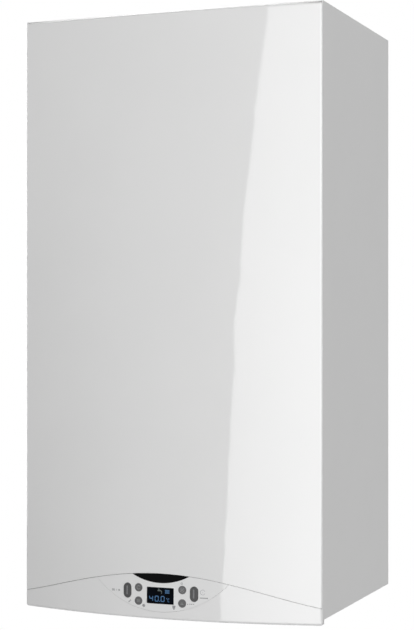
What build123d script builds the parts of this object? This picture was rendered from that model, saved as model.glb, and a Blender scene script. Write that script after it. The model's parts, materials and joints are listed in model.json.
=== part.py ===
"""Wall-hung combi boiler, built as separate sub-parts in millimetres.

+X is to the viewer's right, +Y points into the wall and +Z is up. The wall is the plane y = 0, so the
front faces -Y. Heights in this file are measured from the lower edge of the side panels. The row's
origin is the middle of the wall bracket's screw line, so every piece is lowered by BRACKET_HEIGHT
when it is written.
"""
from build123d import *
import math
import os

# ---------------------------------------------------------------- casing
CASE_WIDTH = 400.0
CASE_DEPTH = 302.0              # wall to the front corners
CASE_HEIGHT = 747.0
SIDE_SHEET = 1.0
SIDE_FLANGE = 15.0              # inward fold that carries the seal, and the one on the wall
BOTTOM_HEM = 9.0
TOP_SHEET = 1.0
TOP_SKIRT = 12.0
TOP_CLEARANCE = 0.2
BACK_SHEET = 1.0
BACK_STANDOFF = 12.0            # wall to the back panel
BACK_FLANGE = 16.0
BACK_CLEARANCE = 1.0
FLOOR_SHEET = 1.0
FLOOR_HEIGHT = 58.0
FLOOR_FLANGE = 15.0
BRACKET_HEIGHT = 690.0
BRACKET_LENGTH = 300.0
BRACKET_PLATE_HEIGHT = 36.0
BRACKET_SHEET = 2.0
BRACKET_REACH = 8.0             # wall to the back of the bracket's upturned lip
BRACKET_LIP_HEIGHT = 12.0
BRACKET_HOLE_SPACING = 240.0
BRACKET_HOLE_RADIUS = 4.5
HOOK_SHEET = 1.5
HOOK_WIDTH = 56.0
HOOK_OFFSET = 60.0
HOOK_CLEARANCE = 0.5
HOOK_SEAT = 0.3
BACK_RIB_X = 150.0
BACK_RIB_WIDTH = 24.0
BACK_RIB_HEIGHT = 3.0
BACK_RIB_LOW = 60.0
BACK_RIB_HIGH = 607.0

# ---------------------------------------------------------------- bowed front
TOP_BOW = 8.0                   # how far the middle of the front stands out, at the top
BOTTOM_BOW = 29.0               # and at the bottom
COVER_TOP_STEP = 1.7            # cover's top below the top panel
FASCIA_DROP = 6.6               # fascia's lower edge below the side panels
EDGE_RADIUS = 3.0
COVER_SHEET = 1.2
COVER_LIP = 2.5                 # full-width edge in front of the side panels
COVER_HEM = 1.4
COVER_RETURN = 12.0
COVER_SIDE_CLEARANCE = 0.4
PANEL_GAP = 0.5
ARCH_FLANGE = 8.0
STIFFENER_HEIGHT = 66.0
SEAL_THICKNESS = 4.5
SEAL_WIDTH = 10.0
SEAL_GAP = 0.3
SEAM_CENTRE = 49.7              # height of the arched seam at the middle
SEAM_FALL = 51.0                # the seam's height is centre - fall u^2 + rise u^4, u = x / half width
SEAM_RISE = 15.6
SEAM_GAP = 0.5
SEAM_STEPS = 12

# ---------------------------------------------------------------- control fascia and its keys
FASCIA_WALL = 2.5
ISLAND_RADIUS = 122.3
ISLAND_BOTTOM = 2.3
ISLAND_GAP = 0.25
ISLAND_THICKNESS = 4.3
ISLAND_LEDGE = 3.0              # how far its rear ledge reaches behind the fascia
ISLAND_LEDGE_GAP = 0.3
BADGE_HALF_LENGTH = 38.5
BADGE_BOTTOM = 38.0
BADGE_DEPTH = 1.5
BADGE_PROUD = 0.2
INSERT_GAP = 0.15
WINDOW_WIDTH = 35.8
WINDOW_HEIGHT = 20.0
WINDOW_CENTRE_Z = 22.4
WINDOW_CORNER = 1.0
WINDOW_RECESS = 0.2
WINDOW_THICKNESS = 2.0
BUTTON_X = 29.2
BUTTON_UPPER_Z = 31.0
BUTTON_LOWER_Z = 14.6
BUTTON_RADIUS = 5.0
BUTTON_PROUD = 0.6
BUTTON_FLANGE = 1.0
BUTTON_FLANGE_DEPTH = 4.7
BUTTON_FLANGE_THICKNESS = 1.1
BUTTON_STEM_RADIUS = 2.0
BUTTON_TRAVEL = 1.2
KEY_GAP = 0.15
ROCKER_X = 44.5
ROCKER_Z = 26.6
ROCKER_WIDTH = 10.4
ROCKER_HEIGHT = 17.6
ROCKER_PROUD = 0.7
ROCKER_AXIS_DEPTH = 6.5         # from the front's middle line to the rocker's axis
ROCKER_BODY_DEPTH = 2.0         # body behind the axis
ROCKER_END_GAP = 0.6
TRUNNION_RADIUS = 1.0
TRUNNION_LENGTH = 1.8
TRUNNION_GAP = 0.05
LUG_THICKNESS = 1.6
LUG_GAP = 0.35
LUG_HALF_HEIGHT = 3.0
DISPLAY_BOARD_SETBACK = 14.0    # front corners to the board's face
BOARD_SHEET = 1.6
DISPLAY_BOARD_HALF_WIDTH = 62.0
DISPLAY_BOARD_LOW = 4.0
DISPLAY_BOARD_HIGH = 37.0
BOARD_POST_RADIUS = 2.5
BOARD_POST_X = 57.0
BOARD_POST_Z = 29.0
BOARD_FOOT_X = 12.0
BOARD_FOOT_Z = 8.0
SWITCH_SIZE = 6.0
SWITCH_GAP = 0.3
LCD_WIDTH = 32.0
LCD_HEIGHT = 17.0
LCD_GAP = 0.3

# ---------------------------------------------------------------- control tray
TRAY_HALF_WIDTH = 176.0
TRAY_BACK = 182.0               # wall to the tray's rear wall
TRAY_BOTTOM = 2.0
TRAY_TOP = 46.0
TRAY_WALL = 2.5
TRAY_LID = 2.0
RIB_HALF_WIDTH = 150.0
RIB_CABLE_HALF_WIDTH = 40.0
RIB_CABLE_LOW = 8.0
RIB_CABLE_HIGH = 24.0
RIB_TOP = 14.0
PIVOT_DISTANCE = 176.0          # wall to the tray's hinge line
PIVOT_Z = 10.0
EAR_RADIUS = 7.0
EAR_THICKNESS = 4.0
PIN_RADIUS = 2.5
PIN_GAP = 0.06
PIN_HEAD_RADIUS = 4.0
PIN_HEAD = 1.5
HINGE_PLATE = 2.0
HINGE_GAP = 1.0
HINGE_HALF_DEPTH = 12.0
HINGE_FOOT = 17.0
MAIN_BOARD_HALF_WIDTH = 150.0
MAIN_BOARD_DEPTH = 76.0
MAIN_BOARD_Z = 9.0
TRANSFORMER_X = -110.0
TRANSFORMER_SIZE = 44.0
TRANSFORMER_HEIGHT = 26.0
RELAY_COUNT = 4
RELAY_FIRST_X = -50.0
RELAY_PITCH = 28.0
RELAY_WIDTH = 12.0
RELAY_LENGTH = 20.0
RELAY_HEIGHT = 15.0
RELAY_MARGIN = 8.0
PLUG_COUNT = 6
PLUG_FIRST_X = -72.0
PLUG_PITCH = 34.0
PLUG_WIDTH = 24.0
PLUG_DEPTH = 10.0
PLUG_HEIGHT = 11.0
PLUG_MARGIN = 3.0
CAPACITOR_COUNT = 3
CAPACITOR_FIRST_X = 84.0
CAPACITOR_PITCH = 22.0
CAPACITOR_RADIUS = 8.0
CAPACITOR_HEIGHT = 22.0
VENT_COUNT = 6
VENT_LENGTH = 60.0
VENT_WIDTH = 3.0
VENT_PITCH = 8.0
VENT_SETBACK = 30.0
STANDOFF_RADIUS = 3.5
STANDOFF_INSET = 8.0

# ---------------------------------------------------------------- flue and heat exchanger
FLUE_DISTANCE = 150.0           # wall to the flue's axis
FLUE_RADIUS = 30.0
FLUE_WALL = 1.8
FLUE_SOCKET_RADIUS = 30.15
FLUE_SOCKET_DEPTH = 28.0
FLUE_SOCKET_WALL = 2.2
FLUE_SOCKET_TOP = 16.0          # above the top panel
COLLAR_RADIUS = 50.0
COLLAR_WALL = 2.0
COLLAR_HEIGHT = 18.0
COLLAR_FLANGE_RADIUS = 66.0
COLLAR_FLANGE = 2.5
EXCHANGER_X = -40.0
EXCHANGER_Z = 500.0
EXCHANGER_RADIUS = 115.0
EXCHANGER_WALL = 4.0
EXCHANGER_BACK = 92.0           # wall to the exchanger's back
EXCHANGER_LENGTH = 114.0
SOCKET_GAP = 0.3
SOCKET_WALL = 3.0
SOCKET_TOP = 640.0
PORT_OFFSET = 80.0              # water ports each side of the exchanger's middle
PORT_RADIUS = 12.0
PORT_BOTTOM = 400.0
DRAIN_RADIUS = 13.0
DRAIN_BOTTOM = 372.0
COIL_INNER_RADIUS = 68.0
COIL_OUTER_RADIUS = 104.0
COIL_TURN = 7.0
COIL_PITCH = 8.4
COIL_TURNS = 12
COIL_WALL = 0.8
COIL_SLIT = 0.6
COIL_FRONT_GAP = 4.0
COMB_WIDTH = 6.0
COMB_COUNT = 4
DOOR_THICKNESS = 8.0
DOOR_HOLE_RADIUS = 24.0
DOOR_STUD_CIRCLE = 107.0
DOOR_STUDS = 6
DOOR_RIB = 3.0
DOOR_RIB_RADIUS = 92.0
DOOR_RIB_WIDTH = 20.0
NUT_RADIUS = 5.5
NUT_HEIGHT = 5.0
STUD_END = 2.0
STUD_RADIUS = 3.0
STUD_GAP = 0.3
BURNER_RADIUS = 33.0
BURNER_WALL = 0.8
BURNER_LENGTH = 76.0
BURNER_RIM = 2.0
BURNER_RIM_WIDTH = 10.0
BURNER_SLOT_ROWS = 5
BURNER_SLOTS = 10
BURNER_SLOT_LENGTH = 9.0
BURNER_SLOT_WIDTH = 1.2
BURNER_SLOT_PITCH = 12.0
BURNER_SLOT_START = 14.0
ELECTRODE_RADIUS = 3.5
ELECTRODE_ROD_RADIUS = 1.2
ELECTRODE_OFFSET = 50.0
ELECTRODE_ANGLE = 60.0
ELECTRODE_FLANGE = 3.0
ELECTRODE_TIP = 5.0
ELECTRODE_LENGTH = 26.0
ELECTRODE_ROD = 40.0
VESSEL_RADIUS = 162.0
VESSEL_Z = 470.0
VESSEL_THICKNESS = 74.0
VESSEL_WALL = 1.8
VESSEL_EDGE = 20.0
VESSEL_GAP = 0.3
VESSEL_RIM = 4.0
VESSEL_PORT_RADIUS = 8.0
VESSEL_PORT = 12.0
VESSEL_PIPE_RADIUS = 5.0
VESSEL_PIPE_DROP = 30.0
VESSEL_PIPE_SLOPE = 50.0
VESSEL_PIPE_CORNER = 10.0
VESSEL_FOOT_X = 82.0
VESSEL_FOOT_DISTANCE = 75.0

# ---------------------------------------------------------------- fan, mixer and gas
FAN_X = 124.0
FAN_Z = 335.0
FAN_RADIUS = 62.0
FAN_WALL = 3.0
FAN_DEPTH = 40.0
FAN_INLET_RADIUS = 22.0
FAN_SHAFT_RADIUS = 3.0
FAN_SHAFT_GAP = 0.05
FAN_MOTOR_RADIUS = 34.0
FAN_MOTOR_LENGTH = 38.0
FAN_MOTOR_EDGE = 5.0
FAN_FINS = 18
FAN_GROOVE_RADIUS = 3.0
FAN_GROOVE_FRONT = 8.0
FAN_GROOVE_BACK = 4.0
SHAFT_END_GAP = 4.0
IMPELLER_RADIUS = 48.0
IMPELLER_WIDTH = 20.0
IMPELLER_BLADES = 24
IMPELLER_DISC = 2.0
IMPELLER_CLEARANCE = 5.0
BLADE_THICKNESS = 1.2
BLADE_LENGTH = 14.0
BLADE_LAP = 2.0                 # how far the blades reach inside the rear ring
BLADE_TIP = 0.5                 # how far they end inside the wheel's edge
HUB_RADIUS = 9.0
DUCT_WIDTH = 40.0
DUCT_WALL = 3.0
DUCT_X = 105.0
DUCT_CORNER = 14.0
DUCT_BOSS = 8.0
DUCT_JOINT_Z = 402.0
MIXER_RADIUS = 28.0
MIXER_BORE = 20.0
MIXER_THROAT = 14.0
MIXER_LENGTH = 62.0
MIXER_GAS_RADIUS = 10.0
GAS_VALVE_TOP = 262.0
GAS_VALVE_WIDTH = 60.0
GAS_VALVE_HEIGHT = 58.0
GAS_VALVE_DEPTH = 66.0
GAS_VALVE_EDGE = 4.0
GAS_VALVE_NECK = 8.0
GAS_VALVE_BORE_DEPTH = 12.0
GAS_COIL_RADIUS = 12.0
GAS_COIL_LENGTH = 30.0
GAS_COIL_PITCH = 28.0
GAS_COIL_OFFSET = 12.0
GAS_PIPE_CORNER = 11.0
GAS_PIPE_FALL = 24.0            # valve's neck to the pipe's lowest run under it
GAS_PIPE_SLOPE = 2.0
GAS_PIPE_RISE = 12.0
GAS_TAIL_NECK = 12.0
SILENCER_LEFT = 44.0            # from the fan's axis
SILENCER_RIGHT = 40.0
SILENCER_DEPTH = 46.0
SILENCER_LOW = 300.0
SILENCER_HIGH = 470.0
SILENCER_WALL = 2.0
SILENCER_CORNER = 5.0
SILENCER_SLOTS = 6
SILENCER_SLOT_WIDTH = 4.0
SILENCER_SLOT_INSET = 8.0

# ---------------------------------------------------------------- water side
CONNECTION_PITCH = 67.0
CONNECTION_DISTANCE = 95.0      # wall to the row of connections
TAIL_END = 18.0                 # how far the tails reach below the side panels
TAIL_THREAD = 16.0
HEATING_THREAD_RADIUS = 13.2
WATER_THREAD_RADIUS = 10.45
HEATING_BORE = 9.0
WATER_BORE = 7.8
TAIL_FLANGE = 3.0
TAIL_FLANGE_THICKNESS = 5.0
TAIL_CHAMFER = 1.0
GROMMET_LIP = 4.0
GROMMET_NECK = 2.0
GROMMET_FLANGE = 2.0
GROMMET_FIT = 0.1
MANIFOLD_INNER_X = 45.0
MANIFOLD_OUTER_X = 155.0
MANIFOLD_HALF_DEPTH = 32.0
MANIFOLD_LOW = 78.0
MANIFOLD_HIGH = 150.0
MANIFOLD_ROUND = 5.0
PIPE_BORE_DEPTH = 30.0
WATER_BORE_DEPTH = 12.0
PLATE_EXCHANGER_LENGTH = 192.0
PLATE_EXCHANGER_HEIGHT = 72.0
PLATE_EXCHANGER_LOW = 79.0
PLATE_COUNT = 12
PLATE_PITCH = 3.0
PLATE_SHEET = 1.4
PLATE_CORE_INSET = 2.5
PLATE_EDGE = 12.0
DIVERTER_X = -85.0
DIVERTER_Z = 116.0
DIVERTER_RADIUS = 22.0
DIVERTER_LENGTH = 56.0
DIVERTER_EDGE = 4.0
SPINDLE_RADIUS = 3.0
SPINDLE_GAP = 0.05
SPINDLE_LENGTH = 44.0
SPINDLE_TRAVEL = 8.0
SPINDLE_VALVE_RADIUS = 9.0
SPINDLE_VALVE = 4.0
SPINDLE_ROOM = 4.0
VALVE_CHAMBER_RADIUS = 12.0
VALVE_CHAMBER_WALL = 6.0
VALVE_FRONT_GAP = 2.0
VALVE_BACK_GAP = 4.0
PUMP_X = 112.0
PUMP_Z = 118.0
PUMP_RADIUS = 48.0
PUMP_DEPTH = 38.0
PUMP_WALL = 5.0
PUMP_MOTOR_RADIUS = 44.0
PUMP_MOTOR_LENGTH = 80.0
PUMP_MOTOR_EDGE = 6.0
PUMP_FINS = 16
PUMP_GROOVE_RADIUS = 2.5
PUMP_GROOVE_FRONT = 14.0
PUMP_GROOVE_BACK = 10.0
PUMP_SHAFT_RADIUS = 4.0
PUMP_IMPELLER_RADIUS = 30.0
PUMP_IMPELLER_WIDTH = 12.0
PUMP_IMPELLER_CLEARANCE = 8.0
PUMP_VOLUTE_GAP = 4.0
PUMP_HUB = 4.0
PUMP_VANES = 6
PUMP_VANE = 2.0
PIPE_RADIUS = 9.0
PIPE_WALL = 1.0
PIPE_CORNER = 28.0
RETURN_PIPE_X = 60.0
FLOW_PIPE_X = -120.0
JOG_LOW = 250.0
JOG_HIGH = 330.0
SAFETY_X = -138.0
SAFETY_Z = 104.0
SAFETY_RADIUS = 12.0
SAFETY_LENGTH = 34.0
SAFETY_STEM = 12.0
SAFETY_OUTLET = 24.0
KNOB_RADIUS = 15.0
KNOB_LENGTH = 18.0
KNOB_EDGE = 2.0
KNOB_STEM_RADIUS = 4.0
KNOB_GAP = 0.3
KNOB_BORE_GAP = 0.06
KNOB_FLUTES = 10
FLUTE_RADIUS = 2.0
FILLING_X = 100.5
FILLING_RADIUS = 11.0
FILLING_LOW = 16.0
FILLING_STEM = 14.0
FILLING_KNOB_RADIUS = 16.0
AIR_VENT_X = 140.0
AIR_VENT_Y = -80.0
AIR_VENT_RADIUS = 13.0
AIR_VENT_HEIGHT = 42.0
AIR_VENT_NECK = 8.0
AIR_VENT_CAP = 6.0
AIR_VENT_CAP_RADIUS = 4.0
ROTOR_Z = 36.0
ROTOR_RADIUS = 7.2
ROTOR_HEIGHT = 8.0
ROTOR_HUB = 2.4
ROTOR_PIN_RADIUS = 1.0
ROTOR_GAP = 0.05
ROTOR_BLADES = 4
ROTOR_BLADE = 1.2
ROTOR_STAND = 4.0
ROTOR_BAR = 1.6
ROTOR_BAR_HEIGHT = 3.0
TRAP_RADIUS = 32.0
TRAP_LOW = 230.0
TRAP_HIGH = 350.0
TRAP_WALL = 2.0
TRAP_EDGE = 5.0
TRAP_STUB = 12.0
HOSE_RADIUS = 11.0
HOSE_WALL = 1.6
HOSE_X = -33.0
HOSE_DISTANCE = 140.0
HOSE_END_RADIUS = 12.5
HOSE_END = 20.0

# ---------------------------------------------------------------- fasteners
SCREW_RADIUS = 2.0
SCREW_HEAD_RADIUS = 4.2
SCREW_HEAD = 2.0
SCREW_SLOT = 0.8
SCREW_LENGTH = 6.0
SCREW_INSET_X = 12.0
SCREW_FRONT = 260.0
SCREW_BACK = 40.0
SCREW_GAP = 0.15

# ---------------------------------------------------------------- worked out from the sizes above
HALF_WIDTH = CASE_WIDTH / 2
SIDE_INNER = HALF_WIDTH - SIDE_SHEET
FRONT_Y = -CASE_DEPTH
LIP_BACK_Y = FRONT_Y + COVER_LIP
PANEL_FRONT_Y = LIP_BACK_Y + PANEL_GAP
RETURN_BACK_Y = FRONT_Y + COVER_RETURN
RETURN_HALF = SIDE_INNER - COVER_SIDE_CLEARANCE
SEAL_BACK_Y = RETURN_BACK_Y + SEAL_GAP + SEAL_THICKNESS
COVER_TOP = CASE_HEIGHT - COVER_TOP_STEP
BACK_Y = -BACK_STANDOFF
BACK_FACE_Y = BACK_Y - BACK_SHEET
FLOOR_TOP = FLOOR_HEIGHT + FLOOR_SHEET
TOP_HALF = SIDE_INNER - TOP_CLEARANCE
BACK_HALF = SIDE_INNER - BACK_CLEARANCE
PIVOT_Y = -PIVOT_DISTANCE
BOARD_Y = FRONT_Y - DISPLAY_BOARD_SETBACK
CONNECTION_Y = -CONNECTION_DISTANCE
MANIFOLD_FRONT_Y = CONNECTION_Y - MANIFOLD_HALF_DEPTH
MANIFOLD_BACK_Y = CONNECTION_Y + MANIFOLD_HALF_DEPTH
EXCHANGER_BACK_Y = -EXCHANGER_BACK
EXCHANGER_FRONT_Y = EXCHANGER_BACK_Y - EXCHANGER_LENGTH
EXCHANGER_BORE = EXCHANGER_RADIUS - EXCHANGER_WALL
DOOR_FRONT_Y = EXCHANGER_FRONT_Y - DOOR_THICKNESS
FLUE_Y = -FLUE_DISTANCE
FAN_FRONT_Y = DOOR_FRONT_Y - FAN_DEPTH
MIXER_BACK_Y = DOOR_FRONT_Y + MIXER_LENGTH
VESSEL_BACK_Y = BACK_FACE_Y - VESSEL_GAP
VESSEL_FRONT_Y = VESSEL_BACK_Y - VESSEL_THICKNESS
FAR = 1000.0                    # longer than any cut needs


# ---------------------------------------------------------------- shapes used again and again
def block(x_low, x_high, y_low, y_high, z_low, z_high):
    """A box given by its limits."""
    centre = ((x_low + x_high) / 2, (y_low + y_high) / 2, (z_low + z_high) / 2)
    return Pos(*centre) * Box(x_high - x_low, y_high - y_low, z_high - z_low)


def rod_x(y, z, x_low, x_high, radius):
    """A cylinder along X."""
    length = x_high - x_low
    return Pos((x_low + x_high) / 2, y, z) * Rot(0, 90, 0) * Cylinder(radius, length)


def rod_y(x, z, y_low, y_high, radius):
    """A cylinder along Y."""
    length = y_high - y_low
    return Pos(x, (y_low + y_high) / 2, z) * Rot(90, 0, 0) * Cylinder(radius, length)


def rod_z(x, y, z_low, z_high, radius):
    """A cylinder along Z."""
    return Pos(x, y, (z_low + z_high) / 2) * Cylinder(radius, z_high - z_low)


def ring_y(x, z, y_low, y_high, outer, inner):
    return rod_y(x, z, y_low, y_high, outer) - rod_y(x, z, y_low - 1, y_high + 1, inner)


def prism_y(outline):
    """A front-view outline, given in x and z, carried through the whole depth."""
    return extrude(Plane.XZ * make_face(outline), amount=FAR, both=True)


def pipe(points, corner, outer, wall):
    """A hollow tube along straight runs joined by arcs."""
    path = FilletPolyline(*points, radius=corner)
    start = Plane(origin=path @ 0, z_dir=path % 0)
    return sweep(start * Circle(outer), path) - sweep(start * Circle(outer - wall), path)


def mirrored(shape):
    """The same shape on the other side of the middle plane."""
    return mirror(shape, about=Plane.YZ)


def both_sides(shape):
    return [shape, mirrored(shape)]


def joined(shapes):
    """One part made of several solids that may touch."""
    total = Part() + shapes[0]
    for shape in shapes[1:]:
        total = total + shape
    return total


def around_y(x, z, radius, count, first=0.0):
    """Places, as x and z, evenly spaced on a circle that faces -Y."""
    turn = 2 * math.pi / count
    angles = [math.radians(first) + step * turn for step in range(count)]
    return [(x + radius * math.cos(angle), z + radius * math.sin(angle)) for angle in angles]


# ---------------------------------------------------------------- the bowed front
def bow_at(z):
    """How far the middle of the front stands out at a height."""
    share = (z + FASCIA_DROP) / (COVER_TOP + FASCIA_DROP)
    return BOTTOM_BOW + (TOP_BOW - BOTTOM_BOW) * share


def front_solid(half, front, back, low, high):
    """Everything behind the bowed front surface, moved back to start at y = front at the corners."""
    def section(z):
        box_line = Polyline((-half, front), (-half, back), (half, back), (half, front))
        arc = ThreePointArc((half, front), (0, front - bow_at(z)), (-half, front))
        return Pos(0, 0, z) * make_face(box_line + arc)
    return loft([section(low), section(high)], ruled=True)


def front_layer(outer_depth, inner_depth):
    """The layer between two depths behind the front surface; a depth below 0 stands proud."""
    low = -FASCIA_DROP - 1
    high = SEAM_CENTRE + 1
    back = RETURN_BACK_Y
    outer = front_solid(HALF_WIDTH, FRONT_Y + outer_depth, back, low, high)
    return outer - front_solid(HALF_WIDTH + 1, FRONT_Y + inner_depth, back + 1, low - 1, high + 1)


def front_y_at(x, z):
    """The front surface's y at a place."""
    bow = bow_at(z)
    radius = (HALF_WIDTH ** 2 + bow ** 2) / (2 * bow)
    return FRONT_Y - bow + radius - math.sqrt(radius ** 2 - x ** 2)


def front_blank():
    """Cover and fascia as one closed shape, with its edges rounded and its sides stepped in."""
    low, high = -FASCIA_DROP, COVER_TOP
    blank = front_solid(HALF_WIDTH, FRONT_Y, RETURN_BACK_Y, low, high)
    edges = [e for e in blank.edges() if e.center().Y < RETURN_BACK_Y - EDGE_RADIUS]
    blank = fillet(edges, EDGE_RADIUS)
    step = block(RETURN_HALF, HALF_WIDTH + 1, LIP_BACK_Y, RETURN_BACK_Y + 1, low - 1, high + 1)
    for side in both_sides(step):
        blank = blank - side
    return blank


def seam_height(x):
    """The arched seam between the cover and the fascia."""
    u = x / HALF_WIDTH
    return SEAM_CENTRE - SEAM_FALL * u ** 2 + SEAM_RISE * u ** 4


def seam_line(offset):
    reach = HALF_WIDTH + 2
    steps = range(-SEAM_STEPS, SEAM_STEPS + 1)
    points = [(reach * k / SEAM_STEPS, seam_height(reach * k / SEAM_STEPS) + offset) for k in steps]
    return Spline(*points)


def above_seam(offset):
    """All that lies above the seam, moved up by offset."""
    line = seam_line(offset)
    sky = CASE_HEIGHT + 50
    return prism_y(line + Polyline(line @ 1, ((line @ 1).X, sky), ((line @ 0).X, sky), line @ 0))


def below_seam(offset):
    """All that lies below the seam, moved up by offset."""
    line = seam_line(offset)
    ground = -50
    return prism_y(line + Polyline(line @ 1, ((line @ 1).X, ground), ((line @ 0).X, ground), line @ 0))


def front_cover():
    shell = front_blank() & above_seam(0)
    inside = front_solid(
        RETURN_HALF - COVER_HEM, FRONT_Y + COVER_SHEET, RETURN_BACK_Y + 1, -FASCIA_DROP,
        COVER_TOP - COVER_SHEET,
    )
    core_back = front_solid(RETURN_HALF, FRONT_Y + ARCH_FLANGE, RETURN_BACK_Y + 1, -FASCIA_DROP, COVER_TOP)
    arch_flange = (inside - core_back) & above_seam(0) & below_seam(COVER_SHEET)
    level = block(-HALF_WIDTH, HALF_WIDTH, FRONT_Y - FAR / 10, RETURN_BACK_Y, STIFFENER_HEIGHT,
                  STIFFENER_HEIGHT + COVER_SHEET)
    return (shell - inside) + arch_flange + (inside & level)


# ---------------------------------------------------------------- control fascia
def island_outline(margin):
    """The lens that holds the keys: an arc below, the seam above."""
    centre_z = ISLAND_BOTTOM + ISLAND_RADIUS
    lens = Pos(0, centre_z) * Circle(ISLAND_RADIUS + margin)
    lens = extrude(Plane.XZ * lens, amount=FAR, both=True)
    return lens & below_seam(-SEAM_GAP)


def badge_outline(margin):
    """The badge's smaller lens, which hangs from the seam."""
    tip_z = seam_height(BADGE_HALF_LENGTH)
    sag = tip_z - BADGE_BOTTOM
    radius = (BADGE_HALF_LENGTH ** 2 + sag ** 2) / (2 * sag)
    lens = Pos(0, BADGE_BOTTOM + radius) * Circle(radius + margin)
    return extrude(Plane.XZ * lens, amount=FAR, both=True) & below_seam(-SEAM_GAP)


def window_outline(margin):
    face = Pos(0, WINDOW_CENTRE_Z) * RectangleRounded(
        WINDOW_WIDTH + 2 * margin, WINDOW_HEIGHT + 2 * margin, WINDOW_CORNER)
    return extrude(Plane.XZ * face, amount=FAR, both=True)


def rocker_outline(x, side_margin, end_margin):
    face = Pos(x, ROCKER_Z) * SlotOverall(
        ROCKER_HEIGHT + 2 * end_margin, ROCKER_WIDTH + 2 * side_margin, rotation=90)
    return extrude(Plane.XZ * face, amount=FAR, both=True)


def button_places():
    return {
        "upper_left_button": (-BUTTON_X, BUTTON_UPPER_Z),
        "lower_left_button": (-BUTTON_X, BUTTON_LOWER_Z),
        "upper_right_button": (BUTTON_X, BUTTON_UPPER_Z),
        "lower_right_button": (BUTTON_X, BUTTON_LOWER_Z),
    }


def control_fascia():
    shell = front_blank() & below_seam(-SEAM_GAP)
    inside = front_solid(
        RETURN_HALF - COVER_HEM, FRONT_Y + FASCIA_WALL, RETURN_BACK_Y + 1, -FASCIA_DROP + FASCIA_WALL,
        CASE_HEIGHT,
    )
    inside = inside & below_seam(-SEAM_GAP - FASCIA_WALL)
    seat = front_layer(-1, ISLAND_THICKNESS + ISLAND_LEDGE_GAP)
    opening = island_outline(0) & seat
    ledge_layer = front_layer(FASCIA_WALL - ISLAND_LEDGE_GAP, ISLAND_THICKNESS + ISLAND_LEDGE_GAP)
    ledge_room = island_outline(ISLAND_LEDGE + ISLAND_GAP) & ledge_layer
    rib = block(-RIB_HALF_WIDTH, RIB_HALF_WIDTH, RETURN_BACK_Y - FASCIA_WALL, RETURN_BACK_Y,
                -FASCIA_DROP + FASCIA_WALL, RIB_TOP)
    cable_way = block(-RIB_CABLE_HALF_WIDTH, RIB_CABLE_HALF_WIDTH, FRONT_Y, RETURN_BACK_Y + 1,
                      RIB_CABLE_LOW, RIB_CABLE_HIGH)
    return (shell - inside + (rib - cable_way)) - opening - ledge_room


def rocker_axis_y():
    return front_y_at(ROCKER_X, ROCKER_Z) + ROCKER_AXIS_DEPTH


def rocker_lugs(x):
    """Two bored lugs behind the island that carry one rocker key."""
    axis_y = rocker_axis_y()
    inner = ROCKER_WIDTH / 2 + LUG_GAP
    lug_front = front_y_at(ROCKER_X, ROCKER_Z) + ISLAND_THICKNESS / 2
    lugs = Part()
    for side in (-1, 1):
        near = x + side * inner
        far = x + side * (inner + LUG_THICKNESS)
        low_x, high_x = min(near, far), max(near, far)
        lugs += block(low_x, high_x, lug_front, axis_y + LUG_HALF_HEIGHT, ROCKER_Z - LUG_HALF_HEIGHT,
                      ROCKER_Z + LUG_HALF_HEIGHT)
    return lugs - rod_x(axis_y, ROCKER_Z, x - FAR / 20, x + FAR / 20, TRUNNION_RADIUS + TRUNNION_GAP)


def board_posts():
    """Posts behind the island that the display board sits on."""
    posts = []
    for x, z in ((BOARD_POST_X, BOARD_POST_Z), (BOARD_FOOT_X, BOARD_FOOT_Z)):
        front = front_y_at(x, z) + ISLAND_THICKNESS / 2
        posts += both_sides(rod_y(x, z, front, BOARD_Y, BOARD_POST_RADIUS))
    return joined(posts)


def control_island():
    plate = island_outline(-ISLAND_GAP) & front_layer(0, ISLAND_THICKNESS)
    ledge = island_outline(ISLAND_LEDGE) & front_layer(FASCIA_WALL + ISLAND_LEDGE_GAP, ISLAND_THICKNESS)
    island = plate + ledge
    for side in (-1, 1):
        island += rocker_lugs(side * ROCKER_X)
    island += board_posts()
    island -= badge_outline(INSERT_GAP) & front_layer(-1, BADGE_DEPTH)
    through = front_layer(-2, ISLAND_THICKNESS + 1)
    island -= window_outline(INSERT_GAP) & through
    for x, z in button_places().values():
        island -= rod_y(x, z, -FAR, FRONT_Y, BUTTON_RADIUS + KEY_GAP) & through
    for side in (-1, 1):
        island -= rocker_outline(side * ROCKER_X, KEY_GAP, ROCKER_END_GAP) & through
    return island


def badge_insert():
    return badge_outline(0) & front_layer(-BADGE_PROUD, BADGE_DEPTH)


def display_window():
    return window_outline(0) & front_layer(WINDOW_RECESS, WINDOW_RECESS + WINDOW_THICKNESS)


def button_stem_end():
    """Where a button's stem ends, so that the full travel stops just before the switch."""
    return BOARD_Y - 2 * BOARD_SHEET - SWITCH_GAP - BUTTON_TRAVEL


def push_button(x, z):
    cap = rod_y(x, z, -FAR, FRONT_Y, BUTTON_RADIUS)
    cap = cap & front_layer(-BUTTON_PROUD, BUTTON_FLANGE_DEPTH + BUTTON_FLANGE_THICKNESS)
    flange = rod_y(x, z, -FAR, FRONT_Y, BUTTON_RADIUS + BUTTON_FLANGE)
    flange = flange & front_layer(BUTTON_FLANGE_DEPTH, BUTTON_FLANGE_DEPTH + BUTTON_FLANGE_THICKNESS)
    stem_front = front_y_at(x, z) + BUTTON_FLANGE_DEPTH
    return cap + flange + rod_y(x, z, stem_front, button_stem_end(), BUTTON_STEM_RADIUS)


def rocker_key(x):
    axis_y = rocker_axis_y()
    body = rocker_outline(x, 0, 0) & front_layer(-ROCKER_PROUD, ROCKER_AXIS_DEPTH + ROCKER_BODY_DEPTH)
    reach = ROCKER_WIDTH / 2 + TRUNNION_LENGTH
    return body + rod_x(axis_y, ROCKER_Z, x - reach, x + reach, TRUNNION_RADIUS)


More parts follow.
